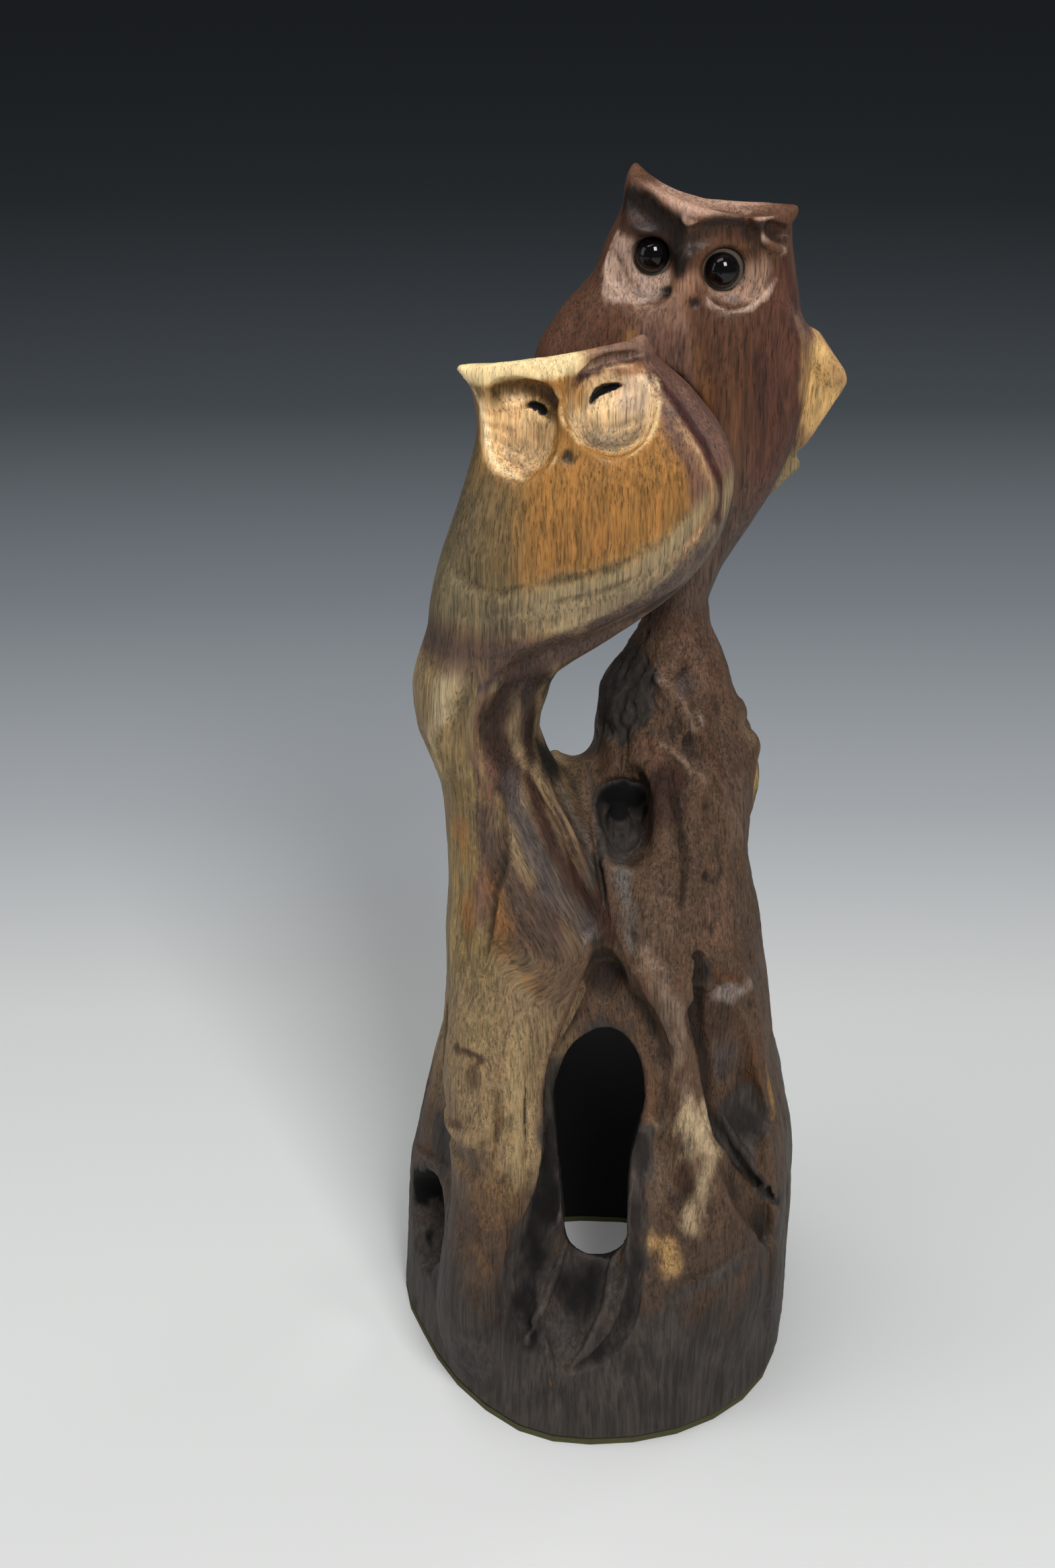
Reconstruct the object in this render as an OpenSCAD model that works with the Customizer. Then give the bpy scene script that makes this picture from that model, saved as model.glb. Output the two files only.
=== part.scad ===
// Carved wooden figurine: a hollow, scorched root whose two limbs end in owls.
// The left limb carries a sleeping owl, the right limb a waking owl with glass eyes.
// Millimetres, +Z up, the front is towards -Y, the origin is under the middle of the foot.

/* [Overall size] */
// Height from the table to the tip of the waking owl's left ear
total_height = 297; // [250:1:350]
// Width of the foot, side to side
foot_width = 103; // [86:1:124]
// Depth of the foot, front to back
foot_depth = 96; // [80:1:116]

/* [Foot] */
// Thickness of the wood round the hollow at the table
foot_wall = 13; // [10:0.5:16]
// Thickness of the felt pad glued under the foot
pad_thickness = 1.6; // [1:0.1:3]
// How far the edges of the pad stay inside the edges of the wood
pad_inset = 0.4; // [0:0.1:1]

/* [Openings] */
// Width of the front opening at its widest
front_opening_width = 21; // [16:1:25]
// Width of the opening in the left side, front to back
side_opening_width = 24; // [16:1:28]
// Width of the knot hole under the fork
knot_hole_width = 12; // [9:1:15]
// Depth of the knot hole
knot_hole_depth = 18; // [10:1:24]

/* [Eyes] */
// Diameter of a glass bead
bead_diameter = 7.6; // [6:0.1:9]
// Distance between the middles of the two beads
bead_spacing = 15; // [13:0.5:18]
// Width of the bedding that shows round a bead
bedding_rim = 0.5; // [0.3:0.1:0.8]
// Thickness of the bedding behind a bead
bedding_floor = 1; // [0.6:0.1:2]
// How far the bedding reaches over the middle of a bead
bedding_lip = 0.8; // [0.4:0.1:1.2]
// Gap between the bedding and the wall of its socket
socket_clearance = 0.05; // [0.02:0.01:0.15]
// Diameter of the wire shank in a bead
wire_diameter = 1.2; // [0.8:0.1:1.6]
// Length of the shank inside the bead
wire_grip = 2; // [1:0.5:2.5]
// Length of the shank behind the bedding
wire_length = 7; // [4:0.5:9]
// Gap round the shank in its drilled hole
wire_clearance = 0.15; // [0.05:0.05:0.3]

/* [Hidden] */

// The forms are drawn at nominal size and stretched to the sizes above.
NOMINAL = [103, 96, 297];
STRETCH = [foot_width / NOMINAL.x, foot_depth / NOMINAL.y, total_height / NOMINAL.z];
RING_STEP = 7;       // greatest height from one section of a form to the next
SLICE = 0.02;        // thickness of a section while it is joined to the next
FAR = 500;           // reaches past the object on every side
ROUND_SIDES = 28;    // sides of a round section
BALL_SIDES = 24;     // sides of a rounded cutter
OVERCUT = 1;         // how far a cut runs past the face that it opens

// Where the one block of wood is divided into its regions, at nominal size
STUMP_TOP = 118;
LIMB_TOP = 196;
LIMB_DIVIDE = -6;    // sideways place of the upright plane between the limbs

// Corners of the foot's outline at the table, joined by a smooth closed curve
FOOT_CORNERS = [
    [51.5, 8], [48, -16], [38, -33], [20, -44.5], [-2, -48], [-20, -43.5], [-36, -28],
    [-46, -9], [-51.5, 9], [-46, 29], [-29, 43], [-3, 48], [26, 44], [44, 29]
];

// Sections of the forms: [height, left, right, front, back, squareness]
FOOT = [
    [0, -51.5, 51.5, -48, 48, 2],
    [10, -50.5, 51.5, -48, 48, 2],
    [30, -49.5, 51.5, -46, 48, 2],
    [45, -48.5, 51.5, -43, 47, 2],
    [60, -45.5, 50, -38, 45, 2],
    [80, -41, 45, -30, 42, 2],
    [98, -36, 40, -24, 38, 2],
    [115, -32, 36, -20, 34, 2],
    [135, -26, 32, -16, 30, 2],
    [152, -20, 24, -12, 24, 2],
    [162, -15, 16, -6, 19, 2],
    [169, -9, 5, 0, 13, 2]
];
LEFT_FORM = [
    [4, -38, -8, -35, -6, 2],
    [20, -41, -14, -39, -4, 2],
    [33, -40, -19, -41, -2, 2],
    [45, -38.5, -19, -41, -1, 2],
    [60, -36.5, -15, -39, 0, 2],
    [76, -37, -10, -37, 3, 2],
    [92, -38.5, -11, -34, 6, 2],
    [104, -38, -8, -32, 9, 2],
    [116, -37, -1, -30, 12, 2],
    [128, -37, 5, -28, 13, 2],
    [142, -36, 4, -26, 13, 2],
    [155, -36.5, -2, -24, 12, 2],
    [167, -37.5, -10, -22, 11, 2],
    [179, -42, -15, -20, 10, 2],
    [188, -43.5, -13, -20, 10, 2],
    [196, -42, -10, -21, 10, 2.2],
    [204, -39.5, 1, -22, 10, 2.4],
    [213, -38.5, 13, -23, 10, 2.5],
    [222, -36, 21, -24, 10, 2.5],
    [232, -32.5, 25, -24, 10, 2.5],
    [242, -29.5, 25.5, -23, 10, 2.6],
    [250, -28, 22, -21, 9, 2.8],
    [257, -29, 16, -19, 8, 2.8],
    [263, -31.5, 9, -17, 7, 2.6],
    [272, -33, 6, -14, 6, 2.6]
];
RIGHT_FORM = [
    [4, -2, 43, -41, 20, 2],
    [20, 1, 46, -41, 24, 2],
    [33, 7, 47, -41, 26, 2],
    [45, 8.5, 48, -40, 28, 2],
    [60, 7, 48.5, -38, 30, 2],
    [78, 6.5, 47, -35, 32, 2],
    [92, 9.5, 43.5, -33, 34, 2],
    [104, 9, 42, -30, 34, 2],
    [116, 2, 40, -28, 34, 2],
    [128, -12, 38, -26, 33, 2],
    [142, -14, 35, -24, 32, 2],
    [155, -11, 35, -19, 31, 2],
    [167, -4, 36.5, -13, 30, 2],
    [175, -1.5, 33, -9, 29, 2],
    [182, -1, 30, -6, 28, 2],
    [189, 4, 28, -2, 26, 2],
    [196, 8.5, 24.5, 3, 24, 2],
    [203, 11.5, 23.5, 6, 23, 2],
    [210, 9, 26.5, 8, 25, 2.2],
    [220, 1, 33, 8, 29, 2.4],
    [231, -8, 39, 7, 32, 2.4],
    [242, -14, 42, 7, 34, 2.4],
    [252, -16.5, 43, 7, 35, 2.4],
    [260, -15, 43, 8, 35, 2.4],
    [267, -10, 41.5, 9, 35, 2.5],
    [274, -3.5, 40, 10, 34, 2.6],
    [281, -1, 38.5, 10, 33, 2.8],
    [289, 2.5, 38, 10, 30, 2.8],
    [301, 3.5, 39, 11, 24, 2.8]
];
// Outside of the wall round the hollow, above the height where it starts to close like a dome
DOME = [
    [60, -45, 48, -39, 45, 2],
    [78, -39, 42, -36, 41, 2],
    [95, -32, 35, -31, 35, 2],
    [107, -25, 28, -26, 28, 2],
    [113, -20, 21, -22, 22, 2]
];
// Outlines of the openings: [height, sideways, share of the opening's width]
FRONT_OPENING = [[58, -1, 0.72], [76, -1.5, 0.85], [90, -0.5, 1.05], [103, 1, 0.42]];
SIDE_OPENING = [[24, 6, 0.35], [36, 5, 0.9], [44, 7, 0.6]];
OPENING_START = -14;     // the openings are cut outwards from this far off the middle
KNOT_MIDDLE = [4.5, -22, 158];
KNOT_TILT = 15;

// Rounded cutters: [x, y, z, radius] of the balls that each one is stretched between
SILL_SCOOP = [[-6, -45, 52, 14], [-12, -52, 18, 5]];
FLANK_SCOOP = [[28, -31, 115, 7], [33, -34, 92, 9], [38, -33, 68, 7], [43, -28, 50, 3]];
// Corners of the two thin blades of the waking owl's wing
WING = [[30, 22, 264], [45, 20, 262], [52, 20, 251], [44, 22, 236], [28, 24, 230]];
WING_TIP = [[28, 22, 240], [43.5, 21, 232], [33, 22, 221], [22, 22, 220]];
WING_EDGE = 1.2;
// Pale bump behind the right limb
BUMP = [[29, 22, 153, 10], [28, 22, 141, 9]];

// The waking owl's eyes: the point between the beads, and how its face is turned
EYE_MIDDLE = [16, 15, 278.2];
GAZE_TURN = -10;
EYE_ROLL = 10;
SOCKET_REACH = 10;   // how far in front of a bead its socket is cut clear

// Face discs: [middle, half sizes]
WAKING_DISCS = [[[6.5, 11, 277], [7.5, 4, 8]], [[26, 9, 277], [8.5, 4.5, 9]]];
SLEEPING_DISCS = [[[-20.5, -18.5, 253], [9.5, 4.5, 10.5]], [[-1, -18, 257.5], [9.5, 4.5, 10.5]]];

// Smooth value between b and c, where a comes before them and d after
function between(a, b, c, d, t) =
    b + t / 2 * (c - a + t * (2 * a - 5 * b + 4 * c - d + t * (3 * (b - c) + d - a)));

// Smooth closed curve through its corners, with one more point between each pair
function closed_curve(corners) =
    let (n = len(corners))
    [for (i = [0 : n - 1], t = [0, 0.5])
        between(corners[(i + n - 1) % n], corners[i], corners[(i + 1) % n], corners[(i + 2) % n], t)];

// Sections of a form, with more put in where two are far apart
function sections(form) = [
    for (i = [0 : len(form) - 2])
        let (count = ceil((form[i + 1][0] - form[i][0]) / RING_STEP),
             before = form[max(i - 1, 0)],
             after = form[min(i + 2, len(form) - 1)])
        for (j = [0 : count - 1]) between(before, form[i], form[i + 1], after, j / count),
    form[len(form) - 1]
];

ROUND = [for (i = [0 : ROUND_SIDES - 1]) [cos(i * 360 / ROUND_SIDES), sin(i * 360 / ROUND_SIDES)]];
FOOT_SHAPE = [for (p = closed_curve(FOOT_CORNERS)) [p.x * 2 / NOMINAL.x, p.y * 2 / NOMINAL.y]];

function squared(c, squareness) = sign(c) * pow(abs(c), 2 / squareness);

// Outline of a section at its real size, moved inwards by a wall
function outline(s, shape, wall = 0) =
    let (middle = [s[1] + s[2], s[3] + s[4]] / 2,
         reach = [(s[2] - s[1]) / 2 * STRETCH.x - wall, (s[4] - s[3]) / 2 * STRETCH.y - wall])
    [for (p = shape) [middle.x * STRETCH.x + reach.x * squared(p.x, s[5]),
                      middle.y * STRETCH.y + reach.y * squared(p.y, s[5])]];

// A nominal point at its real size
function at(p) = [p.x * STRETCH.x, p.y * STRETCH.y, p.z * STRETCH.z];

module slice(s, shape, wall) {
    translate([0, 0, s[0] * STRETCH.z]) linear_extrude(SLICE) polygon(outline(s, shape, wall));
}

// Solid drawn through the sections of a form
module loft(form, shape = ROUND, wall = 0) {
    all = sections(form);
    for (i = [0 : len(all) - 2]) hull() {
        slice(all[i], shape, wall);
        slice(all[i + 1], shape, wall);
    }
}

// Balls joined one to the next
module stretched_balls(balls) {
    for (i = [0 : len(balls) - 2]) hull() for (b = [balls[i], balls[i + 1]])
        translate(at(b)) sphere(r = b[3], $fn = BALL_SIDES);
}

// Thin rounded blade between its corners
module blade(corners) {
    hull() for (c = corners) translate(at(c)) sphere(r = WING_EDGE, $fn = 12);
}

// Flattened ball that scoops out one disc of a face
module face_disc(disc) {
    translate(at(disc[0])) scale(disc[1]) sphere(r = 1, $fn = 28);
}

// Round bar across the top of a head, which leaves an ear standing at each side
module head_saddle(middle, radius, roll, pitch) {
    translate(at(middle)) rotate([pitch, roll, 0]) translate([0, 0, radius])
        rotate([90, 0, 0]) cylinder(r = radius, h = FAR, center = true, $fn = 96);
}

// The hollow in the foot: up from the table inside the wall, then closing like a dome
module hollow() {
    lower = [for (s = FOOT) if (s[0] < DOME[0][0]) s];
    loft(concat(lower, DOME), FOOT_SHAPE, foot_wall);
}

// Hole with an upright outline, cut from the middle of the foot towards +Z
module tall_hole(discs, width) {
    for (i = [0 : len(discs) - 2]) hull() for (d = [discs[i], discs[i + 1]])
        translate([d[1], d[0] * STRETCH.z, -OPENING_START])
            cylinder(d = width * d[2], h = FAR, $fn = 32);
}

module front_opening() {
    rotate([90, 0, 0]) tall_hole(FRONT_OPENING, front_opening_width);
}

module side_opening() {
    rotate([90, 0, -90]) tall_hole(SIDE_OPENING, side_opening_width);
}

// Blind knot hole, a little taller than it is wide, which looks out and up
module knot_hole() {
    translate(at(KNOT_MIDDLE)) rotate([90 + KNOT_TILT, 0, 0]) translate([0, 0, -knot_hole_depth])
        hull() for (up = [-0.25, 0.25] * knot_hole_width) translate([0, up, 0])
            cylinder(d = knot_hole_width, h = FAR, $fn = 32);
}

// Puts its children in front of an eye: +Z points out of the face, side is -1 or 1
module at_eye(side) {
    translate(at(EYE_MIDDLE)) rotate([0, EYE_ROLL, GAZE_TURN])
        translate([side * bead_spacing / 2, 0, 0]) rotate([90, 0, 0]) children();
}

bead_radius = bead_diameter / 2;
bedding_radius = bead_radius + bedding_rim;
bedding_back = bead_radius + bedding_floor;

// Flat-bottomed socket for a bead, with the drilled hole for its shank
module eye_socket() {
    translate([0, 0, -bedding_back])
        cylinder(r = bedding_radius + socket_clearance, h = bedding_back + SOCKET_REACH, $fn = 64);
    translate([0, 0, -bedding_back - wire_length - wire_clearance])
        cylinder(d = wire_diameter + 2 * wire_clearance, h = wire_length + bead_radius, $fn = 24);
}

module sleeping_form() {
    difference() {
        loft(LEFT_FORM);
        head_saddle([-13, -6, 261.2], 90, -9, -30);
        for (disc = SLEEPING_DISCS) face_disc(disc);
    }
}

module waking_form() {
    difference() {
        union() {
            loft(RIGHT_FORM);
            blade(WING);
            blade(WING_TIP);
            stretched_balls(BUMP);
        }
        head_saddle([20.5, 12, 289.3], 46, 14, -12);
        for (disc = WAKING_DISCS) face_disc(disc);
        for (side = [-1, 1]) at_eye(side) eye_socket();
    }
}

// The wood of the stump and the limbs
module root_form() {
    difference() {
        union() {
            loft(FOOT, FOOT_SHAPE);
            sleeping_form();
            waking_form();
        }
        hollow();
        front_opening();
        side_opening();
        knot_hole();
        stretched_balls(SILL_SCOOP);
        stretched_balls(FLANK_SCOOP);
    }
}

// Everything between two heights and two sides
module region(bottom, top, left = -FAR, right = FAR) {
    translate([left, -FAR, bottom]) cube([right - left, 2 * FAR, top - bottom]);
}

stump_top = STUMP_TOP * STRETCH.z;
limb_top = LIMB_TOP * STRETCH.z;
limb_divide = LIMB_DIVIDE * STRETCH.x;

module stump() {
    color("#4a3426") intersection() {
        root_form();
        region(pad_thickness, stump_top);
    }
}

module left_limb() {
    color("#8a7350") intersection() {
        root_form();
        region(stump_top, limb_top, right = limb_divide);
    }
}

module right_limb() {
    color("#5b4236") intersection() {
        root_form();
        region(stump_top, limb_top, left = limb_divide);
    }
}

module sleeping_owl() {
    color("#b0874a") difference() {
        intersection() {
            sleeping_form();
            region(limb_top, FAR);
        }
        waking_form();
    }
}

module waking_owl() {
    color("#5a3d33") intersection() {
        waking_form();
        region(limb_top, FAR);
    }
}

module foot_pad() {
    color("#6f7040") linear_extrude(pad_thickness) difference() {
        polygon(outline(FOOT[0], FOOT_SHAPE, pad_inset));
        polygon(outline(FOOT[0], FOOT_SHAPE, foot_wall - pad_inset));
    }
}

module bead(side) {
    color("#101010") at_eye(side) difference() {
        sphere(r = bead_radius, $fn = 64);
        translate([0, 0, -bead_radius - OVERCUT])
            cylinder(d = wire_diameter, h = wire_grip + OVERCUT, $fn = 32);
    }
}

module bedding(side) {
    color("#c8b18a") at_eye(side) difference() {
        translate([0, 0, -bedding_back])
            cylinder(r = bedding_radius, h = bedding_back + bedding_lip, $fn = 64);
        sphere(r = bead_radius, $fn = 64);
        translate([0, 0, -bedding_back - OVERCUT])
            cylinder(d = wire_diameter, h = bedding_floor + 2 * OVERCUT, $fn = 32);
    }
}

module wire(side) {
    color("#9a9a98") at_eye(side) translate([0, 0, -bedding_back - wire_length])
        cylinder(d = wire_diameter, h = wire_length + bedding_floor + wire_grip, $fn = 32);
}

stump();
left_limb();
right_limb();
sleeping_owl();
waking_owl();
foot_pad();
bead(-1);  // left_eye_bead
bead(1);  // right_eye_bead
wire(-1);  // left_eye_wire
wire(1);  // right_eye_wire
bedding(-1);  // left_eye_bedding
bedding(1);  // right_eye_bedding
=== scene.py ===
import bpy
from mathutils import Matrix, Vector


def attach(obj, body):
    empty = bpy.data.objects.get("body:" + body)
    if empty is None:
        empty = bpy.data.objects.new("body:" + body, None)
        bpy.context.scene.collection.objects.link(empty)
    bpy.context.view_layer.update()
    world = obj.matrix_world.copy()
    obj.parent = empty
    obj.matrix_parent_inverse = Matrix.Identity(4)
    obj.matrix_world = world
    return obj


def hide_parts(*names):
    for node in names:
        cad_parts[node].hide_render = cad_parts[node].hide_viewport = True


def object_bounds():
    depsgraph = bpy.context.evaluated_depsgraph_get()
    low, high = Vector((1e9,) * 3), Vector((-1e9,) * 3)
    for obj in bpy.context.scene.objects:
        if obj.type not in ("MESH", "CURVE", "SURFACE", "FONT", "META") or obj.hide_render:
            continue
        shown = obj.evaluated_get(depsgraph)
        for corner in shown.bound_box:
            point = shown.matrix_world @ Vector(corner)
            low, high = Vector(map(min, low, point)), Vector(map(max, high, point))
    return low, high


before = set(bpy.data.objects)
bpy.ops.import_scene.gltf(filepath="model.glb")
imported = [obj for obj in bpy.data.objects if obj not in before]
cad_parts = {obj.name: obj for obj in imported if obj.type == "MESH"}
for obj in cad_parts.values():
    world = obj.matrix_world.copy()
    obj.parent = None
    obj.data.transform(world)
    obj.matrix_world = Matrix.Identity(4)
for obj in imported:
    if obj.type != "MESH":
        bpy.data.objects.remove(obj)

# Two owls carved from one hollow, scorched root: the carved surface, its glass eyes and its felt foot.
# Places and sizes in the carving code are millimetres; Blender's own objects are in metres.

import copy
import math
from itertools import pairwise

import bpy
import numpy as np
import openvdb
from mathutils import Euler, Vector

cad_low, cad_high = [list(corner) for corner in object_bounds()]

MM = 0.001
WOOD_NODES = ["stump", "left_limb", "right_limb", "sleeping_owl", "waking_owl"]
NOMINAL_SIZE = np.array([104.5, 96.2, 296.7])  # the carving's size when its places were chosen
STRETCH = (np.array(cad_high) - np.array(cad_low)) / MM / NOMINAL_SIZE
VOXEL = 0.6
MOST_TRIANGLES = 330_000
LATTICE = 32  # random values along each side of the noise before it repeats
FLAT_BELOW = 3  # the sawn underside has no tool marks up to this height
FIRST_BLUR = 1.1  # softens the edges of the CAD surface before it is carved
CREST_BLUR = 2.2  # a crest or groove is what stands out from the surface blurred this much
CREST_GAIN = 0.45


def at(places):
    """Nominal places at their real size."""
    return np.atleast_2d(np.asarray(places, float)) * STRETCH


# ---------------------------------------------------------------- camera

CAMERA_PLACE = (-0.0176, -0.3859, 0.3670)
CAMERA_DIP = 28  # degrees below level that the camera looks
LENS = 43.24  # focal length for a sensor 36 mm wide


def place_object(name, data, place, turn):
    holder = bpy.data.objects.new(name, data)
    bpy.context.scene.collection.objects.link(holder)
    holder.location = place
    holder.rotation_euler = turn
    return holder


def make_camera():
    camera = bpy.data.cameras.new("camera")
    camera.lens = LENS
    camera.sensor_width = 36
    turn = (math.radians(90 - CAMERA_DIP), 0, 0)
    bpy.context.scene.camera = place_object("camera", camera, CAMERA_PLACE, turn)


# ---------------------------------------------------------------- smooth curves, blurs and noise

def curve_through(points, step):
    """Points about a step apart on a smooth curve through the given ones."""
    ends = [2 * points[0] - points[1], 2 * points[-1] - points[-2]]
    padded = np.vstack([ends[0], points, ends[1]])
    pieces = []
    for a, b, c, d in zip(padded, padded[1:], padded[2:], padded[3:]):
        count = max(1, round(np.linalg.norm(c - b) / step))
        t = np.arange(count)[:, None] / count
        pieces.append(b + t / 2 * (c - a + t * (2 * a - 5 * b + 4 * c - d + t * (3 * (b - c) + d - a))))
    return np.vstack(pieces + [points[-1]])


def blurred(values, sigma):
    """Values smoothed by three box averages along each axis, which together are nearly Gaussian."""
    reach = max(1, round((math.sqrt(4 * sigma * sigma + 1) - 1) / 2))
    width = 2 * reach + 1
    for axis in range(3):
        moved = np.moveaxis(values, axis, 0)
        for _ in range(3):
            padded = np.concatenate([moved[:1].repeat(reach + 1, 0), moved, moved[-1:].repeat(reach, 0)])
            total = np.cumsum(padded, axis=0, dtype=np.float64)
            moved = ((total[width:] - total[:-width]) / width).astype(np.float32)
        values = np.moveaxis(moved, 0, axis)
    return np.ascontiguousarray(values)


def value_noise(places, spacing, seed):
    """Smooth noise from -1 to 1 at each place, with a lattice of the given spacing along x, y and z."""
    lattice = np.random.default_rng(seed).uniform(-1, 1, [LATTICE] * 3)
    scaled = places / np.asarray(spacing, float)
    cell = np.floor(scaled).astype(int)
    part = scaled - cell
    part = part * part * (3 - 2 * part)
    total = np.zeros(len(places))
    for corner in np.ndindex(2, 2, 2):
        weight = np.prod(np.where(corner, part, 1 - part), axis=1)
        index = (cell + corner) % LATTICE
        total += weight * lattice[index[:, 0], index[:, 1], index[:, 2]]
    return total


def layered_noise(places, spacing, seed, layers=3):
    """Noise with finer and weaker layers added to it."""
    total = 0
    for layer in range(layers):
        total = total + value_noise(places, np.asarray(spacing) / 2 ** layer, seed + layer) / 2 ** layer
    return total


def ramp(values, low, high):
    """0 below the low value, 1 above the high one, smooth between; low may be the greater."""
    t = np.clip((values - low) / (high - low), 0, 1)
    return t * t * (3 - 2 * t)


# ---------------------------------------------------------------- the block of wood and its tools

def point_values(points, kind):
    """The three numbers of one kind at each point of a mesh."""
    values = np.empty(len(points) * 3, np.float32)
    points.foreach_get(kind, values)
    return values.reshape(-1, 3)


def joined_nodes(names):
    """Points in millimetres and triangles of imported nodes."""
    points, triangles, count = [], [], 0
    for name in names:
        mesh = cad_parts[name].data
        mesh.calc_loop_triangles()
        corners = np.empty(len(mesh.loop_triangles) * 3, np.int32)
        mesh.loop_triangles.foreach_get("vertices", corners)
        points.append(point_values(mesh.vertices, "co") / MM)
        triangles.append(corners.reshape(-1, 3).astype(np.uint32) + count)
        count += len(mesh.vertices)
    return np.concatenate(points), np.concatenate(triangles)


def ball_chain(places, start, end, start_radius, end_radius):
    """Distance from places to two balls and the tapered bar between them."""
    along = end - start
    offsets = [p - s for p, s in zip(places, start)]
    t = sum(o * a for o, a in zip(offsets, along)) / max(along @ along, 1e-6)
    t = np.clip(t, 0, 1)
    gap = np.sqrt(sum((o - t * a) ** 2 for o, a in zip(offsets, along)))
    return gap - (start_radius + t * (end_radius - start_radius))


class Block:
    """Wood as signed distances on a grid in millimetres, below zero inside, which tools add to or cut."""

    BAND = 9  # voxels each side of the surface that know their distance
    SKIN = 0.05  # the first surface is taken this far out, which closes the faces between nodes
    STEP = 1.0  # distance between the places of a stroke
    THIN = 0.03  # a stroke's width and height at its ends are the root of this share of their full size
    FAR = 50.0  # distance to a tool where it was not worked out
    TRIES = 8  # moves towards the surface
    LEAP = 1.5  # the longest of those moves
    MISSED = 0.3  # a place this far from the surface never reached it

    def __init__(self, names, voxel):
        self.voxel = voxel
        transform = openvdb.createLinearTransform(voxelSize=voxel)
        points, triangles = joined_nodes(names)
        apart = openvdb.FloatGrid.createLevelSetFromPolygons(points, triangles=triangles, transform=transform)
        points, triangles, quads = apart.convertToPolygons(isovalue=self.SKIN)
        grid = openvdb.FloatGrid.createLevelSetFromPolygons(
            points, triangles=triangles, quads=quads, transform=transform, halfWidth=self.BAND)
        self.first = np.floor(points.min(0) / voxel).astype(int) - self.BAND
        last = np.ceil(points.max(0) / voxel).astype(int) + self.BAND
        self.distance = np.empty(tuple(last - self.first + 1), np.float32)
        grid.copyToArray(self.distance, ijk=tuple(int(i) for i in self.first))

    def smoothed(self, sigma):
        """A copy with its distances blurred over sigma millimetres."""
        softer = copy.copy(self)
        softer.distance = blurred(self.distance, sigma / self.voxel)
        return softer

    def window(self, low, high):
        """The part of the grid between two corners, and the places of its points along x, y and z."""
        size = np.array(self.distance.shape)
        start = np.clip(np.floor(low / self.voxel).astype(int) - self.first, 0, size - 1)
        stop = np.clip(np.ceil(high / self.voxel).astype(int) - self.first + 1, start + 1, size)
        axes = [((np.arange(a, b) + f) * self.voxel).astype(np.float32)
                for a, b, f in zip(start, stop, self.first)]
        part = tuple(slice(int(a), int(b)) for a, b in zip(start, stop))
        return part, axes

    def depth_at(self, places):
        """Signed distance at each place."""
        scaled = np.clip(places / self.voxel - self.first, 0, np.array(self.distance.shape) - 1.001)
        cell = scaled.astype(int)
        part = scaled - cell
        total = 0
        for corner in np.ndindex(2, 2, 2):
            weight = np.prod(np.where(corner, part, 1 - part), axis=1)
            index = cell + corner
            total = total + weight * self.distance[index[:, 0], index[:, 1], index[:, 2]]
        return total

    def outward(self, places):
        """Direction out of the wood at each place."""
        reach = 1.5 * self.voxel
        slope = np.stack([self.depth_at(places + reach * axis) - self.depth_at(places - reach * axis)
                          for axis in np.eye(3)], axis=1)
        return slope / np.maximum(np.linalg.norm(slope, axis=1, keepdims=True), 1e-6)

    def on_surface(self, places):
        for _ in range(self.TRIES):
            move = np.clip(self.depth_at(places), -self.LEAP, self.LEAP)
            places = places - self.outward(places) * move[:, None]
        return places

    def blend(self, part, tool, lift, soft):
        """Adds the tool to the wood or cuts it away, with a soft edge."""
        side = 1 if lift > 0 else -1
        wood = side * self.distance[part]
        near = np.clip(1 - np.abs(wood - tool) / soft, 0, None)
        self.distance[part] = side * (np.minimum(wood, tool) - near * near * soft / 4)

    def stroke(self, points, width, lift, soft=0.6, taper=0.3):
        """A ridge along the surface, or a groove where the lift is below zero."""
        path = self.on_surface(curve_through(at(points), self.STEP))
        share = np.linspace(0, 1, len(path))
        size = np.sqrt(np.clip(np.minimum(share, 1 - share) / taper, self.THIN, 1))
        half = width / 2 * size
        height = abs(lift) * size
        radius = (half ** 2 + height ** 2) / (2 * height)
        side = 1 if lift > 0 else -1
        middle = path - self.outward(path) * (side * (radius - height))[:, None]
        margin = width / 2 + abs(lift) + soft
        reach = half + height + soft
        part, axes = self.window(path.min(0) - margin, path.max(0) + margin)
        tool = np.full([len(axis) for axis in axes], self.FAR, np.float32)
        for a, b in pairwise(range(len(path))):
            low = np.minimum(path[a], path[b]) - margin
            high = np.maximum(path[a], path[b]) + margin
            near = tuple(slice(*np.searchsorted(axis, ends)) for axis, ends in zip(axes, zip(low, high)))
            here = np.ix_(*[axis[span] for axis, span in zip(axes, near)])
            bar = ball_chain(here, middle[a], middle[b], radius[a], radius[b])
            rim = ball_chain(here, path[a], path[b], reach[a], reach[b])
            tool[near] = np.minimum(tool[near], np.maximum(bar, rim))
        self.blend(part, tool, lift, soft)

    def ellipsoid(self, middle, sizes, lift, soft=0.8, turn=(0, 0, 0)):
        """Adds an ellipsoid of the given half sizes, or cuts one where the lift is below zero."""
        middle = at(middle)[0]
        sizes = np.asarray(sizes, float)
        part, axes = self.window(middle - sizes.max() - soft, middle + sizes.max() + soft)
        turned = np.array(Euler([math.radians(a) for a in turn]).to_matrix())
        offsets = [p - m for p, m in zip(np.ix_(*axes), middle)]
        local = [sum(o * turned[k][j] for k, o in enumerate(offsets)) for j in range(3)]
        scaled = np.sqrt(sum((p / s) ** 2 for p, s in zip(local, sizes)))
        steep = np.sqrt(sum((p / s ** 2) ** 2 for p, s in zip(local, sizes)))
        self.blend(part, scaled * (scaled - 1) / np.maximum(steep, 1e-4), lift, soft)

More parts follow.
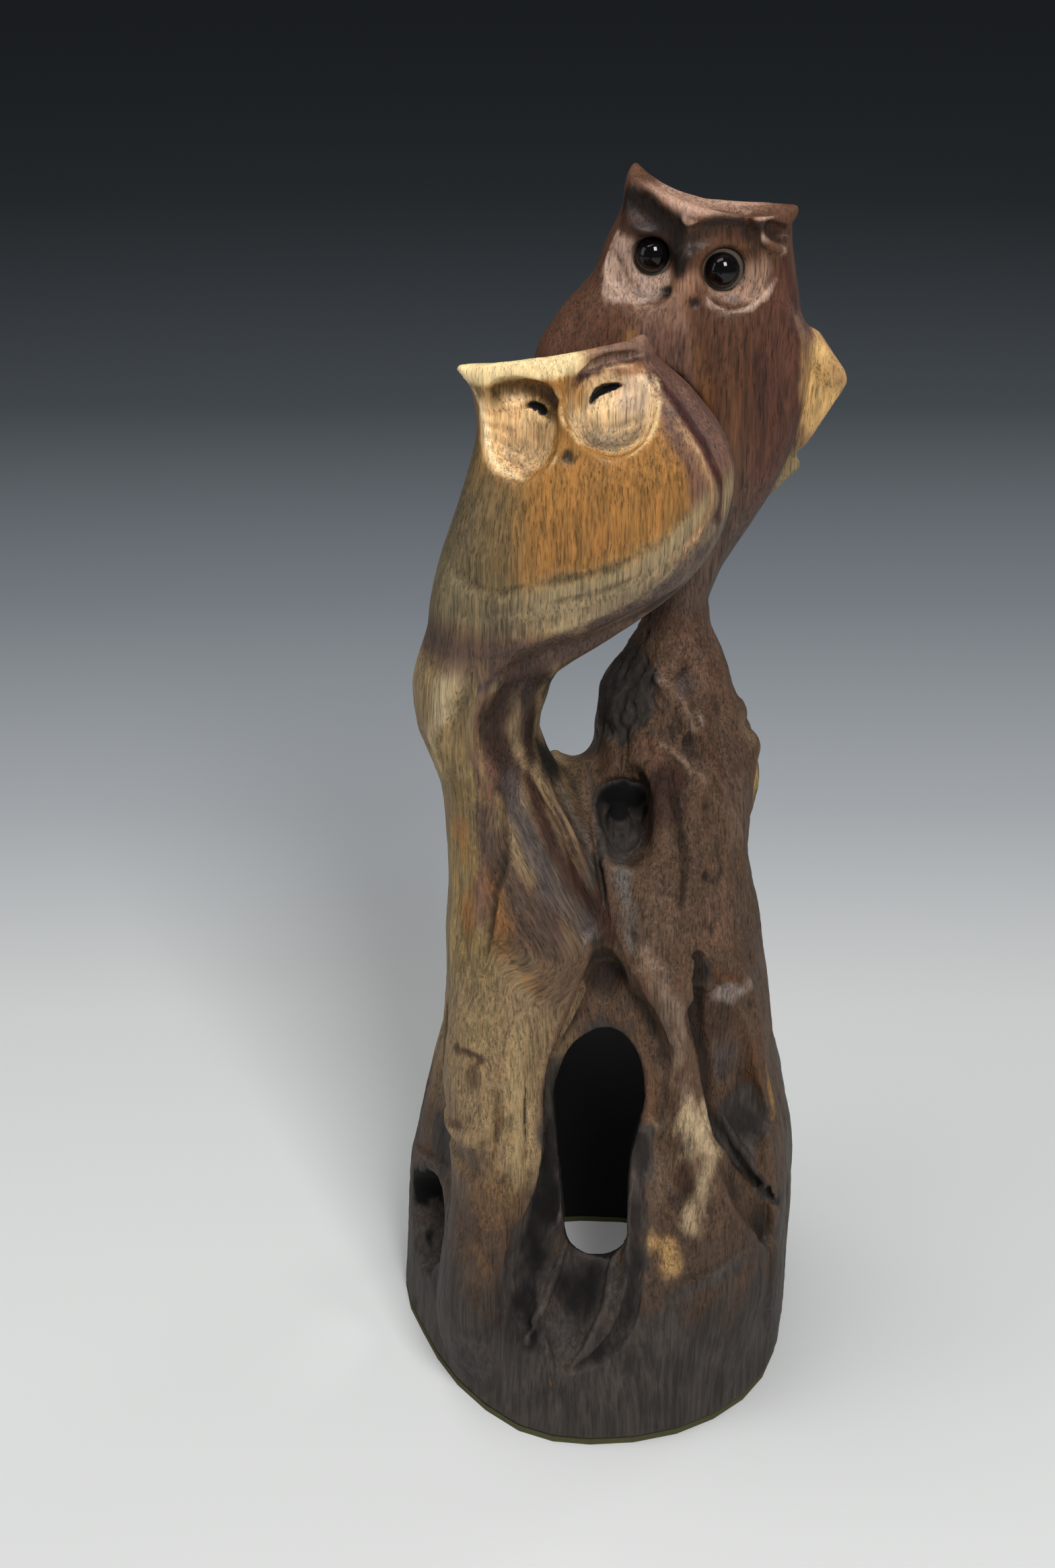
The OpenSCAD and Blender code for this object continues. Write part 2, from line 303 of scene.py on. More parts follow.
    def horn(self, points, radii, soft=1.0):
        """Adds a tapering point of wood along its points, such as the tip of an ear."""
        points = at(points)
        reach = max(radii) + soft
        part, axes = self.window(points.min(0) - reach, points.max(0) + reach)
        bars = [ball_chain(np.ix_(*axes), *ends) for ends in zip(points, points[1:], radii, radii[1:])]
        self.blend(part, np.minimum.reduce(bars), 1, soft)

    def dent(self, points, width, depth, soft=0.8):
        """A round hollow or, for a depth below zero, a bump at each point."""
        for point in points:
            places = self.on_surface(at(point))
            middle, out = places[0], self.outward(places)[0]
            radius = (width ** 2 / 4 + depth ** 2) / (2 * abs(depth))
            side = 1 if depth > 0 else -1
            centre = middle + out * side * (radius - abs(depth))
            reach = width / 2 + soft + abs(depth)
            part, axes = self.window(middle - reach, middle + reach)
            ball = ball_chain(np.ix_(*axes), centre, centre, radius, radius)
            rim = ball_chain(np.ix_(*axes), middle, middle, reach, reach)
            self.blend(part, np.maximum(ball, rim), -depth, soft)

    def gouge_marks(self, low, high, count, size, depth, lean, seed):
        """Shallow cuts scattered over the surface between two corners, mostly along the grain."""
        draw = np.random.default_rng(seed)
        for place in draw.uniform(low, high, (count, 3)):
            middle = self.on_surface(at(place))
            if abs(self.depth_at(middle)[0]) > self.MISSED:
                continue
            out = self.outward(middle)[0]
            across = draw.normal(0, lean, 3)
            along = np.array([across[0], across[1], 1])
            along -= out * (along @ out)
            along *= size * draw.uniform(0.6, 1.3) / max(np.linalg.norm(along), 0.1) / STRETCH
            start = middle[0] / STRETCH - along
            self.stroke([start, start + along, start + 2 * along], size * draw.uniform(0.5, 0.8),
                        -depth * draw.uniform(0.5, 1.2), soft=0.3, taper=0.5)

    def mesh(self):
        """Points in millimetres and outward faces, quads first and then triangles."""
        grid = openvdb.FloatGrid(float(self.BAND * self.voxel))
        grid.copyFromArray(self.distance, ijk=tuple(int(i) for i in self.first))
        grid.transform = openvdb.createLinearTransform(voxelSize=self.voxel)
        points, triangles, quads = grid.convertToPolygons(isovalue=0.0, adaptivity=0.0)
        return points, quads, triangles


# ---------------------------------------------------------------- lines that are both carved and stained

SLEEPING_LEFT_RIM = [(-30, -10, 261), (-27.5, -13, 256), (-26, -14, 251), (-25, -16, 246), (-21, -18, 243),
                     (-17, -20, 242), (-13, -21, 245), (-11.5, -21, 250)]
SLEEPING_NOSE_AND_RIM = [(-12.5, -15, 265), (-12, -17, 262), (-11, -19, 257), (-10, -20, 253),
                         (-6, -21, 250.5), (0, -21, 248), (5, -21, 250), (8, -19, 254), (9, -16, 258),
                         (8, -14, 262), (6, -12, 266)]
WAKING_LEFT_RIM = [(1, 16, 284), (-1, 16, 279), (-1, 15, 275), (1.5, 14, 271.5), (6, 13, 270.5),
                   (9, 12.5, 271.5)]
WAKING_RIGHT_RIM = [(35.5, 13, 281), (34.5, 12, 275), (32, 11, 271.5), (27, 10, 269.2), (21, 10, 270.5),
                    (19, 11, 272)]
WAKING_BROW_FOLD = [(30.5, 11, 284.5), (33, 12.5, 281.8), (36.5, 14, 280.5)]
WAKING_HAIRS = [hair for k in range(6) for hair in [
    [(0.2 + k * 0.5, 15, 281 - 1.7 * k), (2.8 + k, 14.5, 277.5 - 1.4 * k)],
    [(33.8 - k * 0.8, 11, 280 - 1.8 * k), (29.8 - k, 11, 277.5 - 1.5 * k)]]]
LIMB_CREST = [(-31, -19, 211), (-32.5, -19.5, 203), (-35, -19, 195), (-37, -18, 188), (-38.5, -16, 181),
              (-37, -16, 172)]
KNOT_RIDGE = [(11, 1, 191), (12, -1, 189), (17, -4, 185), (20, -6, 179)]
KNOT_CREASE = [(14, -11, 172), (16, -14, 163), (18, -19, 152), (17, -22, 142)]
RIBBON = [(-21, -21, 172), (-19, -22, 164), (-15, -23.5, 155), (-10, -25, 146), (-5, -24, 139),
          (-2, -24, 133)]
SCAR = [(-34, -25, 104.5), (-31, -28, 105.5), (-28, -30, 105)]
HOLLOW_LEFT_LIP = [(-0.5, -24, 142), (-2.5, -25, 134), (-6, -27, 124), (-9.5, -28, 113), (-12.5, -28, 102),
                   (-14.5, -29, 90), (-16, -33, 76), (-18, -36, 62)]
SILL_GROOVE = [(9, -33, 74), (9, -36, 64), (8.5, -39, 55), (8, -42, 46), (6, -44.5, 37), (1, -46, 29),
               (-6, -46, 24)]
SILL_RIDGES = [[(-8, -31, 51), (-12, -36, 42), (-15, -40, 36.5), (-18, -42, 29)],
               [(-14, -41, 31), (-12, -44.5, 24), (-12, -46.5, 18)]]
FLANK_WALL = [(19, -25, 132), (20, -26, 126), (21.5, -28, 117), (24.5, -28, 102), (26.5, -29, 88),
              (30, -29, 77), (36, -27.5, 66), (41, -26, 58)]
FLANK_LEAF = [(29.5, -25, 86), (33, -26, 78), (37, -26, 70), (41, -26, 61)]


def moved(points, x=0, y=0, z=0):
    """The points of a line beside the given one."""
    return [(a + x, b + y, c + z) for a, b, c in points]


# ---------------------------------------------------------------- carving

def carve_sleeping_face(block):
    block.horn([(-25, -9, 260), (-31, -10, 262.3)], [3.2, 0.9], soft=2)
    block.horn([(1, -8, 263), (5.5, -9, 268)], [3.2, 0.9], soft=2)
    for middle, sizes in [((-20.3, -21.5, 251.5), (9.2, 8.4, 9.8)), ((-0.8, -21.5, 257), (9.6, 8.4, 10.2))]:
        block.ellipsoid(middle, sizes, -1, soft=0.35)
    block.ellipsoid((-18.5, -17, 258.5), (8, 5, 3.8), -1, soft=0.6, turn=(0, 8, 0))  # under the left brow
    block.stroke(SLEEPING_LEFT_RIM, 1.4, 0.3, soft=0.3)
    block.stroke(SLEEPING_NOSE_AND_RIM[:6], 1.8, 0.9, soft=0.4, taper=0.2)
    block.stroke(SLEEPING_NOSE_AND_RIM[4:], 1.4, 0.3, soft=0.3)
    block.stroke([(-7, -16, 262.5), (-2, -15, 265), (3, -14, 266), (6, -12, 266)], 2.6, -2.0, soft=0.3)
    for cheek in [[(-20, -14, 252), (-17, -14, 251), (-14, -15, 250)],
                  [(-4, -14, 254), (0, -14, 255), (4, -14, 257)]]:
        block.stroke(cheek, 6, 0.9, soft=1)
    block.stroke([(-19, -13, 254.6), (-17, -13, 255.9), (-15, -14, 255.6), (-12.8, -15, 253)], 1.6, -2.0,
                 soft=0.25, taper=0.5)
    block.stroke([(-5.2, -14, 255.6), (-4, -14, 257.6), (-2, -14, 259), (2, -14, 260)], 1.4, -1.8,
                 soft=0.25, taper=0.5)
    block.stroke([(-10, -21, 249), (-9.5, -21, 247), (-9, -21, 245.6)], 1.8, -0.8, soft=0.4)  # beak
    for k in range(4):  # hair strokes over both cheeks
        block.stroke([(-27.5 + k, -13, 255 - 3 * k), (-23 + 0.6 * k, -15, 254 - 3 * k),
                      (-19, -16, 253 - 3 * k)], 1.3, -0.2, soft=0.4)
        block.stroke([(-6 + k, -17, 251.5 + k), (0, -17, 249.5 + 1.4 * k),
                      (6.5 - 0.3 * k, -17, 251.5 + 1.8 * k)], 1.3, -0.2, soft=0.4)


def carve_sleeping_body(block):
    flank_ridge = [(9, -12, 265), (11, -15, 260), (14, -17, 252), (17, -18.5, 244), (18.5, -19, 236),
                   (17, -20, 229)]
    block.stroke(flank_ridge, 4, 0.8, soft=1)
    block.stroke([(13, -9, 264), (16, -13, 258), (20, -14, 249), (22.5, -14, 240), (22, -16, 231)], 4, -0.7,
                 soft=1)
    fold = [(-36, -11, 223), (-32, -17, 222), (-25, -22, 220), (-16, -23, 222), (-7, -24, 224), (2, -24, 227),
            (10, -22, 232), (15, -21, 238)]
    block.stroke(fold, 5, -0.35, soft=1)
    block.stroke(moved(fold[1:], z=-5), 5, 0.35, soft=1.2)
    block.stroke([(-30, -19, 204), (-24, -22, 205), (-17, -22, 208), (-8, -22, 212), (2, -21, 217),
                  (12, -20, 224)], 3, 0.8, soft=1)
    block.stroke([(-27, -21, 196), (-20, -21, 200), (-12, -20, 204), (-4, -19, 207), (4, -18, 211),
                  (12, -16, 217)], 8, -1.6, soft=1.2)
    block.dent([(-39, -8, 216)], 12, 0.8)


def carve_left_limb(block):
    block.stroke(LIMB_CREST, 6, 1.2, soft=1.2)
    block.stroke([(-29, -21, 201), (-31, -20.5, 192), (-33, -20, 184), (-32, -20, 174)], 4, -0.9, soft=1)
    block.stroke([(-26, -22, 199), (-28, -21, 193), (-30, -20.5, 187), (-29, -20.5, 179), (-26, -21, 172)],
                 2.6, 1.0, soft=0.6)
    block.stroke([(-17, -21, 202), (-20, -20, 193), (-23, -19, 184), (-22, -19, 175)], 12, -2.4, soft=1.5)
    block.stroke([(-13, -20, 202), (-11, -19, 198), (-12, -16, 193)], 1.6, 0.5, soft=0.4)
    block.dent([(-43, -8, 187)], 11, 0.9)
    block.dent([(-41, -13, 178)], 7, 0.8)


def carve_middle(block):
    crease = [(-22, -20, 178), (-22.5, -21, 170), (-22.5, -22.5, 162), (-23.5, -24, 154), (-26, -24, 146),
              (-27.5, -25, 136), (-28.5, -26, 126)]
    block.stroke(crease, 3.2, -1.5, soft=0.4)
    block.stroke(moved(crease, x=-4, y=0.5), 4.5, 0.8, soft=1.2)
    for lower in range(7):  # wrinkles across the stripe
        z = 170 - 3.2 * lower
        block.stroke([(-31, -19, z + lower % 2), (-28, -22, z - 0.7), (-25, -22.5, z + 0.4)], 1.3, -0.25,
                     soft=0.4)
    block.stroke(RIBBON, 8, -1.5, soft=0.8)
    ridge = [(-16, -15, 174), (-12, -16, 167), (-9, -17, 161), (-7, -18, 155), (-4.5, -19, 149),
             (-2, -20.5, 144), (0, -22, 140)]
    block.stroke(ridge, 2.2, 1.2, soft=0.4)
    block.stroke(moved(ridge[:-1], x=-3.6, y=-0.6, z=-2), 2.0, 0.7, soft=0.4)
    block.stroke(moved(ridge[:-1], x=-1.9, z=-1), 1.4, -0.6, soft=0.3)
    block.stroke([(-12, -10, 171), (-9, -12, 166), (-6, -14, 160), (-3.5, -16, 153)], 5, -1.4, soft=0.6)
    seam = [(-3, -6, 164), (-2, -12, 158), (-1.5, -17, 151), (-0.5, -21, 144), (0.5, -23, 138)]
    block.stroke(seam, 2.0, -1.4, soft=0.4)
    block.stroke(moved(seam, x=1.8), 1.6, 0.5, soft=0.4)


def carve_knot_hole(block):
    block.ellipsoid((3.2, -6, 152), (3.4, 5, 7), 1, soft=0.8, turn=(-15, 0, 0))
    for side in [-1.8, 0, 1.8]:
        block.stroke([(3.2 + side, -8, 158), (3.4 + side, -11, 154), (3.8 + side, -12.5, 149)], 0.9, -0.7,
                     soft=0.3)
    block.stroke([(-1, -10, 156), (0, -16, 150.5), (5, -19, 148.5), (10, -19, 151)], 2.0, 0.6, soft=0.5)
    block.stroke([(-2, -10, 163), (2, -8, 164.5), (7, -8, 163.5), (11, -9, 160)], 3, -1.0, soft=0.5)
    block.stroke([(3, -20, 150), (4, -22, 147), (5.5, -24, 140), (6, -25, 133)], 6.5, -0.9, soft=0.6)


def carve_right_trunk(block):
    block.stroke(KNOT_RIDGE, 2.4, 1.0, soft=0.4)
    block.stroke([(15, 0, 193), (19, -2, 189), (22, -3, 183)], 7, -1.4, soft=0.4)
    block.stroke([(10, -8, 175), (13, -9, 175.5), (18, -10.5, 173), (23, -11.5, 168)], 2.6, 1.1, soft=0.4)
    block.stroke([(12, -8, 181), (17, -8, 179), (22, -8, 175)], 6, -1.2, soft=0.6)
    block.stroke([(21, -5, 181), (24, -9, 171), (28, -10, 162), (32, -8, 149), (34, -12, 138)], 2.4, 1.0,
                 soft=0.5)
    block.stroke([(18, -8, 178), (21, -11, 168), (25, -13, 159), (28, -14, 148)], 6, -1.0, soft=0.8)
    block.stroke(KNOT_CREASE, 2.8, -1.2, soft=0.5)
    block.stroke([(12, -14, 170), (13, -17, 160), (13.5, -20, 150)], 3, 0.7, soft=0.6)
    block.stroke([(22, -19, 147), (26, -18, 148), (30, -16, 146)], 1.6, -0.6, soft=0.4)
    block.gouge_marks((4, -34, 118), (38, 0, 180), 170, 3.4, 0.5, 0.25, 5)
    block.gouge_marks((12, 5, 118), (40, 40, 180), 60, 3.6, 0.4, 0.25, 6)


def carve_right_limb(block):
    block.ellipsoid((-6.4, -2, 175.2), (5.6, 34, 5.6), -1, soft=2, turn=(-28, 0, 0))  # the foot of the gap
    block.stroke([(12, 4, 196), (11, 1, 192), (12, -2, 188), (16, -5, 183), (18, -7, 178), (14, -9, 174)],
                 2.2, 0.8, soft=0.4)
    block.dent([(17, 0, 195), (26, 1, 189), (27, -2, 182)], 8, 0.8, soft=0.5)
    block.dent([(6, 3, 188), (3, 0, 181), (8, -3, 182), (4, -2, 175)], 6.5, 0.8, soft=0.6)
    block.stroke([(26, 6, 196), (29, 3, 189), (31, 1, 181), (33, -1, 173)], 2.6, 1.0, soft=0.7)
    block.dent([(34, 8, 178), (34.5, 5, 170)], 6, -1.2, soft=0.8)
    block.stroke([(15, 3, 205), (15, 2, 199), (14, 2, 194)], 2.4, -0.6, soft=0.6)
    block.gouge_marks((-2, -12, 168), (20, 26, 198), 150, 2.6, 0.7, 0.5, 7)


def carve_waking_head(block):
    block.horn([(7, 17, 287), (5.6, 19, 292), (4.8, 21, 296.4)], [3.6, 2.2, 0.7], soft=2)
    block.horn([(31, 15, 286), (35, 15.5, 287.6), (37.8, 16, 288.6)], [3.0, 1.7, 0.7], soft=2)
    top = [(5.6, 20, 295.2), (7.5, 18.5, 293.8), (10, 17.5, 292.2), (13, 17, 290.8), (19, 17, 289),
           (26.6, 17, 288.4), (32, 17, 288.2), (37, 16.5, 288)]
    block.horn(top, [0.8, 1.2, 1.4, 1.5, 1.7, 1.7, 1.6, 0.9], soft=2.5)
    block.ellipsoid((5.5, 7.5, 277), (8, 7.4, 8.5), -1, soft=0.4, turn=(0, -8, 0))
    block.ellipsoid((25.8, 5, 277.2), (9.2, 7.6, 8.2), -1, soft=0.4, turn=(0, 8, 0))
    brow = [(3.8, 16, 294.5), (6.5, 13, 291.5), (10, 11.5, 289), (14.5, 10, 287.5), (19.5, 9, 287),
            (25, 9, 287.5), (30, 10, 288), (35, 12, 288.5)]
    block.stroke(brow, 2.0, 1.3, soft=0.4)
    block.stroke([(3, 16, 291), (6, 12, 289.5), (9, 11, 287.5), (12, 10, 284), (13, 10, 280)], 7.5, -2.4,
                 soft=1)
    block.stroke([(15, 10, 282), (18, 10, 284), (23, 10, 285.5), (28, 11, 285), (31, 12, 282.5)], 7, -1.9,
                 soft=1)
    block.stroke(WAKING_LEFT_RIM, 1.3, 0.35, soft=0.3)
    block.stroke(WAKING_RIGHT_RIM, 1.3, 0.35, soft=0.3)
    block.stroke(WAKING_BROW_FOLD, 2.0, 1.0, soft=0.4)
    block.stroke([(31.5, 12, 286.5), (34.5, 13, 284.5), (37.5, 15, 284)], 3.8, -2.2, soft=0.5)
    block.stroke([(16, 10, 283), (15.2, 10, 278), (14.6, 10, 273)], 3, 0.8, soft=1)
    block.stroke([(11.5, 13, 272.8), (12.8, 12, 271.8)], 2.0, -0.9, soft=0.3)
    block.stroke([(18, 10, 271.5), (17, 10, 269.8)], 2.0, -0.7, soft=0.3)
    for hair in WAKING_HAIRS:
        block.stroke(hair, 1.2, -0.3, soft=0.2)


def carve_waking_body(block):
    block.stroke([(33, 11, 272), (36.5, 13, 267), (38, 14, 260), (38.5, 14, 250), (36, 13, 239)], 5, 0.7,
                 soft=1.5)
    block.horn([(40, 18, 263.5), (45, 19, 257.6), (49.4, 20, 252.6)], [1.8, 1.6, 1.7],
               soft=2.5)  # edge of the wing
    block.stroke([(39, 15, 262), (41, 16, 258), (41.5, 17, 250), (39, 15, 241), (36, 12, 233)], 6, 0.7,
                 soft=2)
    block.stroke([(-8, 14, 268), (-11, 11, 258), (-12, 9, 248)], 4, -0.6, soft=1)
    for x in [2, 8, 14, 20, 26, 31]:  # long shallow flutes down the breast
        block.stroke([(x, 8, 264 - abs(x - 14) / 3), (x + 1, 8, 250), (x + 2, 9, 232),
                      (x * 0.6 + 9, 11, 215)], 3.4, -0.28, soft=0.8)
    block.stroke([(34, 12, 238), (30, 11, 226), (25, 11, 213), (21, 8, 203)], 2.4, 0.6, soft=0.8)


def carve_hollow_lips(block):
    inner_left = [(0, -24, 137), (-1.5, -24, 130), (-4, -24.5, 121), (-7, -25, 112), (-10, -26, 103)]
    right = [(0.5, -24, 141), (4, -25.5, 133), (8, -26, 124), (12, -26, 114), (15, -26, 105)]
    block.stroke(HOLLOW_LEFT_LIP, 3.0, 1.3, soft=0.8, taper=0.15)
    block.stroke(inner_left, 1.8, 0.8, soft=0.5)
    block.stroke(moved(HOLLOW_LEFT_LIP[1:6], x=2.6, y=1.2), 2.2, -1.0, soft=0.5)
    block.stroke(right, 2.4, 0.8, soft=0.7)
    block.stroke([(0, -23, 130), (0.5, -22, 123), (1, -21, 114)], 8, -2.2, soft=0.9)
    block.ellipsoid((0.4, -22, 92), (10.6, 12, 15.4), -1, soft=1)
    block.ellipsoid((-0.5, -28, 54), (8, 12, 7.5), -1, soft=1.5)
    lip = [(7, -22, 105), (10, -24, 100), (12, -25, 93), (11.5, -27, 85), (9, -30, 76), (8, -35, 66),
           (8.5, -39, 56), (9, -43, 47), (8.5, -44, 39), (5, -45.5, 31), (-1, -46, 26)]
    block.stroke(lip, 3.0, 0.7, soft=0.8, taper=0.15)


def carve_left_trunk(block):
    block.stroke([(-36, -14, 160), (-36.5, -15, 146), (-37, -17, 132), (-38, -18, 120)], 3, 0.7, soft=0.8)
    block.stroke([(-34, -18, 134), (-31.5, -23, 126), (-33.5, -24, 118), (-36, -20, 112)], 2.6, -0.6,
                 soft=0.8)
    block.stroke([(-33, -24, 122), (-29, -26, 124), (-26.5, -27, 118), (-29, -26.5, 112), (-33, -25, 114)],
                 2, 0.5, soft=0.7)
    block.stroke(SCAR, 1.4, -0.5, soft=0.3)
    block.stroke([(-39, -18, 84), (-36, -25, 82), (-32, -31, 83), (-28, -34, 87), (-25, -34, 91)], 5, 1.3,
                 soft=1.2)
    block.stroke([(-39, -20, 78), (-35, -28, 76), (-31, -33, 76), (-27, -36, 79)], 8, -1.5, soft=0.8)
    block.stroke([(-20, -28, 110), (-20, -31, 98), (-20, -34, 84), (-22, -37, 68)], 3, 0.9, soft=1)
    block.stroke([(-25, -28, 112), (-25, -31, 98), (-25, -35, 82), (-27, -37, 66)], 4, -0.8, soft=1)
    block.dent([(-31, -31, 96), (-28, -36, 66), (-33, -33, 58), (-22, -36, 75)], 9, 0.8)
    gap = [(-38, -15, 112), (-39, -16, 100), (-40, -17, 86), (-40.5, -18, 72), (-41, -19, 58),
           (-41.5, -20, 48)]
    block.stroke(gap, 5, -4.2, soft=0.8, taper=0.2)  # between the trunk and the strut behind it
    block.gouge_marks((-42, -42, 40), (-10, -10, 120), 110, 3.6, 0.35, 0.2, 8)


def carve_strut(block):
    block.stroke([(-40, 4, 108), (-42, 4, 94), (-44, 4, 78), (-46, 3, 62)], 4, 1.0, soft=1)
    block.stroke([(-47, 8, 50), (-46, 1, 53), (-44, -6, 56), (-42, -13, 60)], 2.4, 1.4, soft=0.6)
    block.stroke([(-41, 12, 104), (-43.5, 13, 86), (-46, 13, 66), (-48, 12, 46)], 4, -1.0, soft=1)
    block.gouge_marks((-50, -14, 50), (-34, 30, 110), 60, 3.2, 0.5, 0.3, 9)


def carve_flank(block):
    block.stroke([(22, -24, 124), (27, -24, 112), (31, -25, 100), (34, -25, 88), (38.5, -26, 76)], 15, -3.4,
                 soft=0.6, taper=0.2)
    block.stroke(moved(FLANK_WALL, x=2.6, y=0.8), 4.0, -2.2, soft=0.3, taper=0.12)
    block.stroke(moved(FLANK_WALL, x=-1.2), 2.4, 0.9, soft=0.5, taper=0.12)
    block.stroke([(18, -25, 133), (24, -22.5, 129.5), (32, -19, 123), (35, -17, 116), (37, -16, 110)], 2.2,
                 1.0, soft=0.4)
    block.stroke([(26, -24, 121), (30, -23, 117), (36, -18, 112)], 6, -1.2, soft=0.3)
    block.stroke(FLANK_LEAF, 2.2, 1.8, soft=0.4)
    block.stroke([(33, -24, 96), (37, -22, 86), (41, -20, 78)], 6, -1.2, soft=0.6)


def carve_sill(block):
    """The dark recess below the hollow, with the leaf of wood that is left standing in it."""
    block.stroke([(-11, -28, 84), (-11.5, -31, 72), (-14, -34, 62), (-16, -36, 54), (-18, -38, 45),
                  (-18.5, -40, 37), (-16, -43, 29)], 7, -3.2, soft=0.6, taper=0.2)
    block.stroke(SILL_GROOVE, 4.6, -2.4, soft=0.6, taper=0.2)
    block.stroke([(-4, -33, 52), (-5, -37, 44), (-7, -41, 36), (-9, -44, 28)], 7, -1.6, soft=0.8)
    block.stroke(SILL_RIDGES[0], 2.2, 1.7, soft=0.4)
    block.stroke(SILL_RIDGES[1], 1.8, 1.5, soft=0.4)
    block.stroke([(6, -32, 55), (3, -37, 46), (2.5, -41, 40), (-2, -44, 31), (-8, -45.5, 23)], 2.2, 1.9,
                 soft=0.4)


def carve_foot(block):
    edge = [(40, -25, 80), (42, -26, 66), (43, -27, 52), (43.5, -28, 38), (45, -26, 22), (47, -22, 10)]
    block.stroke(edge, 2.6, 1.2, soft=0.5)
    block.stroke([(21, -33, 82), (20, -34, 74), (18, -36, 65)], 7, -1.2, soft=1.2)
    block.stroke([(25, -32, 84), (25, -35, 76), (22, -36, 66)], 3, 0.8, soft=0.8)
    block.stroke([(11, -34, 78), (13, -36, 68), (14, -38, 58)], 4, 0.6, soft=1)
    block.stroke([(20, -40, 46), (27, -39, 49), (35, -36, 54), (41, -27, 49)], 2.4, -0.6, soft=0.8)
    block.stroke([(46, -18, 90), (48, -12, 70), (49.5, -8, 45), (50.5, -6, 20)], 4, -1.2, soft=0.6)
    block.stroke([(48, 4, 88), (50, 8, 66), (51, 8, 44), (51.5, 8, 22)], 5, 0.9, soft=1.2)
    block.gouge_marks((-52, -50, 8), (52, -10, 70), 90, 4.2, 0.3, 0.2, 10)
    block.gouge_marks((20, -30, 20), (54, 40, 120), 120, 4.0, 0.4, 0.2, 11)


def carve_back(block):
    for x, lean in [(-30, -6), (-12, 3), (6, -4), (24, 5)]:  # long valleys between the old roots
        block.stroke([(x + lean, 30, 138), (x, 38, 104), (x - lean / 2, 45, 66), (x, 48, 24)], 9, -2.6,
                     soft=1.6)
    for x, lean in [(-22, 4), (-3, -3), (15, 4), (33, -4)]:
        block.stroke([(x + lean, 30, 130), (x, 38, 96), (x - lean / 2, 45, 60), (x, 47, 20)], 8, 1.2,
                     soft=1.6)
    block.stroke([(-4, 26, 176), (-6, 27, 160), (-8, 30, 142), (-4, 33, 124)], 5, -2.4, soft=1)
    for dx in [-8, 0, 9]:
        block.stroke([(14 + dx, 35, 262), (14 + dx, 34, 244), (15 + dx * 0.7, 30, 226)], 4, -0.6, soft=1)
        block.stroke([(-3 + dx, 9, 252), (-4 + dx, 10, 236), (-8 + dx, 10, 218)], 4, -0.6, soft=1)
    block.stroke([(-32, 10, 206), (-34, 10, 192), (-34, 12, 176), (-30, 13, 158)], 5, -1.2, soft=1)
    block.gouge_marks((-48, 20, 20), (48, 50, 130), 160, 4.2, 0.4, 0.25, 12)
    block.gouge_marks((-44, 2, 130), (40, 40, 200), 90, 3.6, 0.35, 0.25, 13)


def carve():
    block = Block(WOOD_NODES, VOXEL).smoothed(FIRST_BLUR)
    for step in [carve_back, carve_foot, carve_left_trunk, carve_strut, carve_flank, carve_hollow_lips,
                 carve_sill, carve_middle, carve_knot_hole, carve_right_trunk, carve_right_limb,
                 carve_left_limb, carve_sleeping_body, carve_sleeping_face, carve_waking_body,
                 carve_waking_head]:
        step(block)
    return block


# ---------------------------------------------------------------- from the block to a mesh

def new_object(name, points, *face_lists):
    """Object with the given points in metres and faces."""
    faces = [np.asarray(f, np.int32) for f in face_lists if len(f)]
    corners = np.concatenate([f.ravel() for f in faces])
    counts = np.concatenate([np.full(len(f), f.shape[1]) for f in faces])
    mesh = bpy.data.meshes.new(name)
    mesh.vertices.add(len(points))
    mesh.vertices.foreach_set("co", np.asarray(points, np.float32).ravel())
    mesh.loops.add(len(corners))
    mesh.loops.foreach_set("vertex_index", corners)
    mesh.polygons.add(len(counts))
    mesh.polygons.foreach_set("loop_start", np.concatenate([[0], np.cumsum(counts)[:-1]]).astype(np.int32))
    mesh.update(calc_edges=True)
    mesh.validate()
    made = bpy.data.objects.new(name, mesh)
    bpy.context.scene.collection.objects.link(made)
    return made


def rasp_amount(places):
    """How coarsely each place was worked: 0 is sanded and waxed, 1 is left from the rasp and the fire."""
    x, y, z = places.T
    right = ramp(x, -6, 4)
    amount = 0.75 * right * ramp(z, 210, 196) * ramp(z, 110, 130)
    amount = np.maximum(amount, 0.5 * ramp(z, 125, 110))
    amount = np.maximum(amount, 0.35 * ramp(z, 196, 170))
    charred = np.linalg.norm((places - [4, 2, 183]) / [9, 14, 13], axis=1)
    amount = np.maximum(amount, ramp(charred, 1.2, 0.8))
    smooth_ribbon = np.linalg.norm((places - [-9, -21, 150]) / [11, 9, 22], axis=1)
    return amount * (1 - 0.7 * ramp(smooth_ribbon, 1.2, 0.7))


def roughen(carving):
    """Moves the surface in and out a little, as flutes along the grain and as marks of the rasp."""
    mesh = carving.data
    places = point_values(mesh.vertices, "co") / MM
    out = point_values(mesh.vertex_normals, "vector")
    nominal = places / STRETCH
    rasp = rasp_amount(nominal)
    flutes = layered_noise(nominal, (3.2, 3.2, 22), 21, 2)
    marks = layered_noise(nominal, (1.5, 1.5, 2.2), 31, 2)
    lumps = layered_noise(nominal, (8, 8, 12), 41, 2)
    height = 0.06 * flutes + rasp * (0.22 * flutes + 0.16 * marks + 0.28 * lumps)
    height[nominal[:, 2] < FLAT_BELOW] = 0
    places = places + out * height[:, None]
    mesh.vertices.foreach_set("co", (places * MM).astype(np.float32).ravel())
    mesh.update()


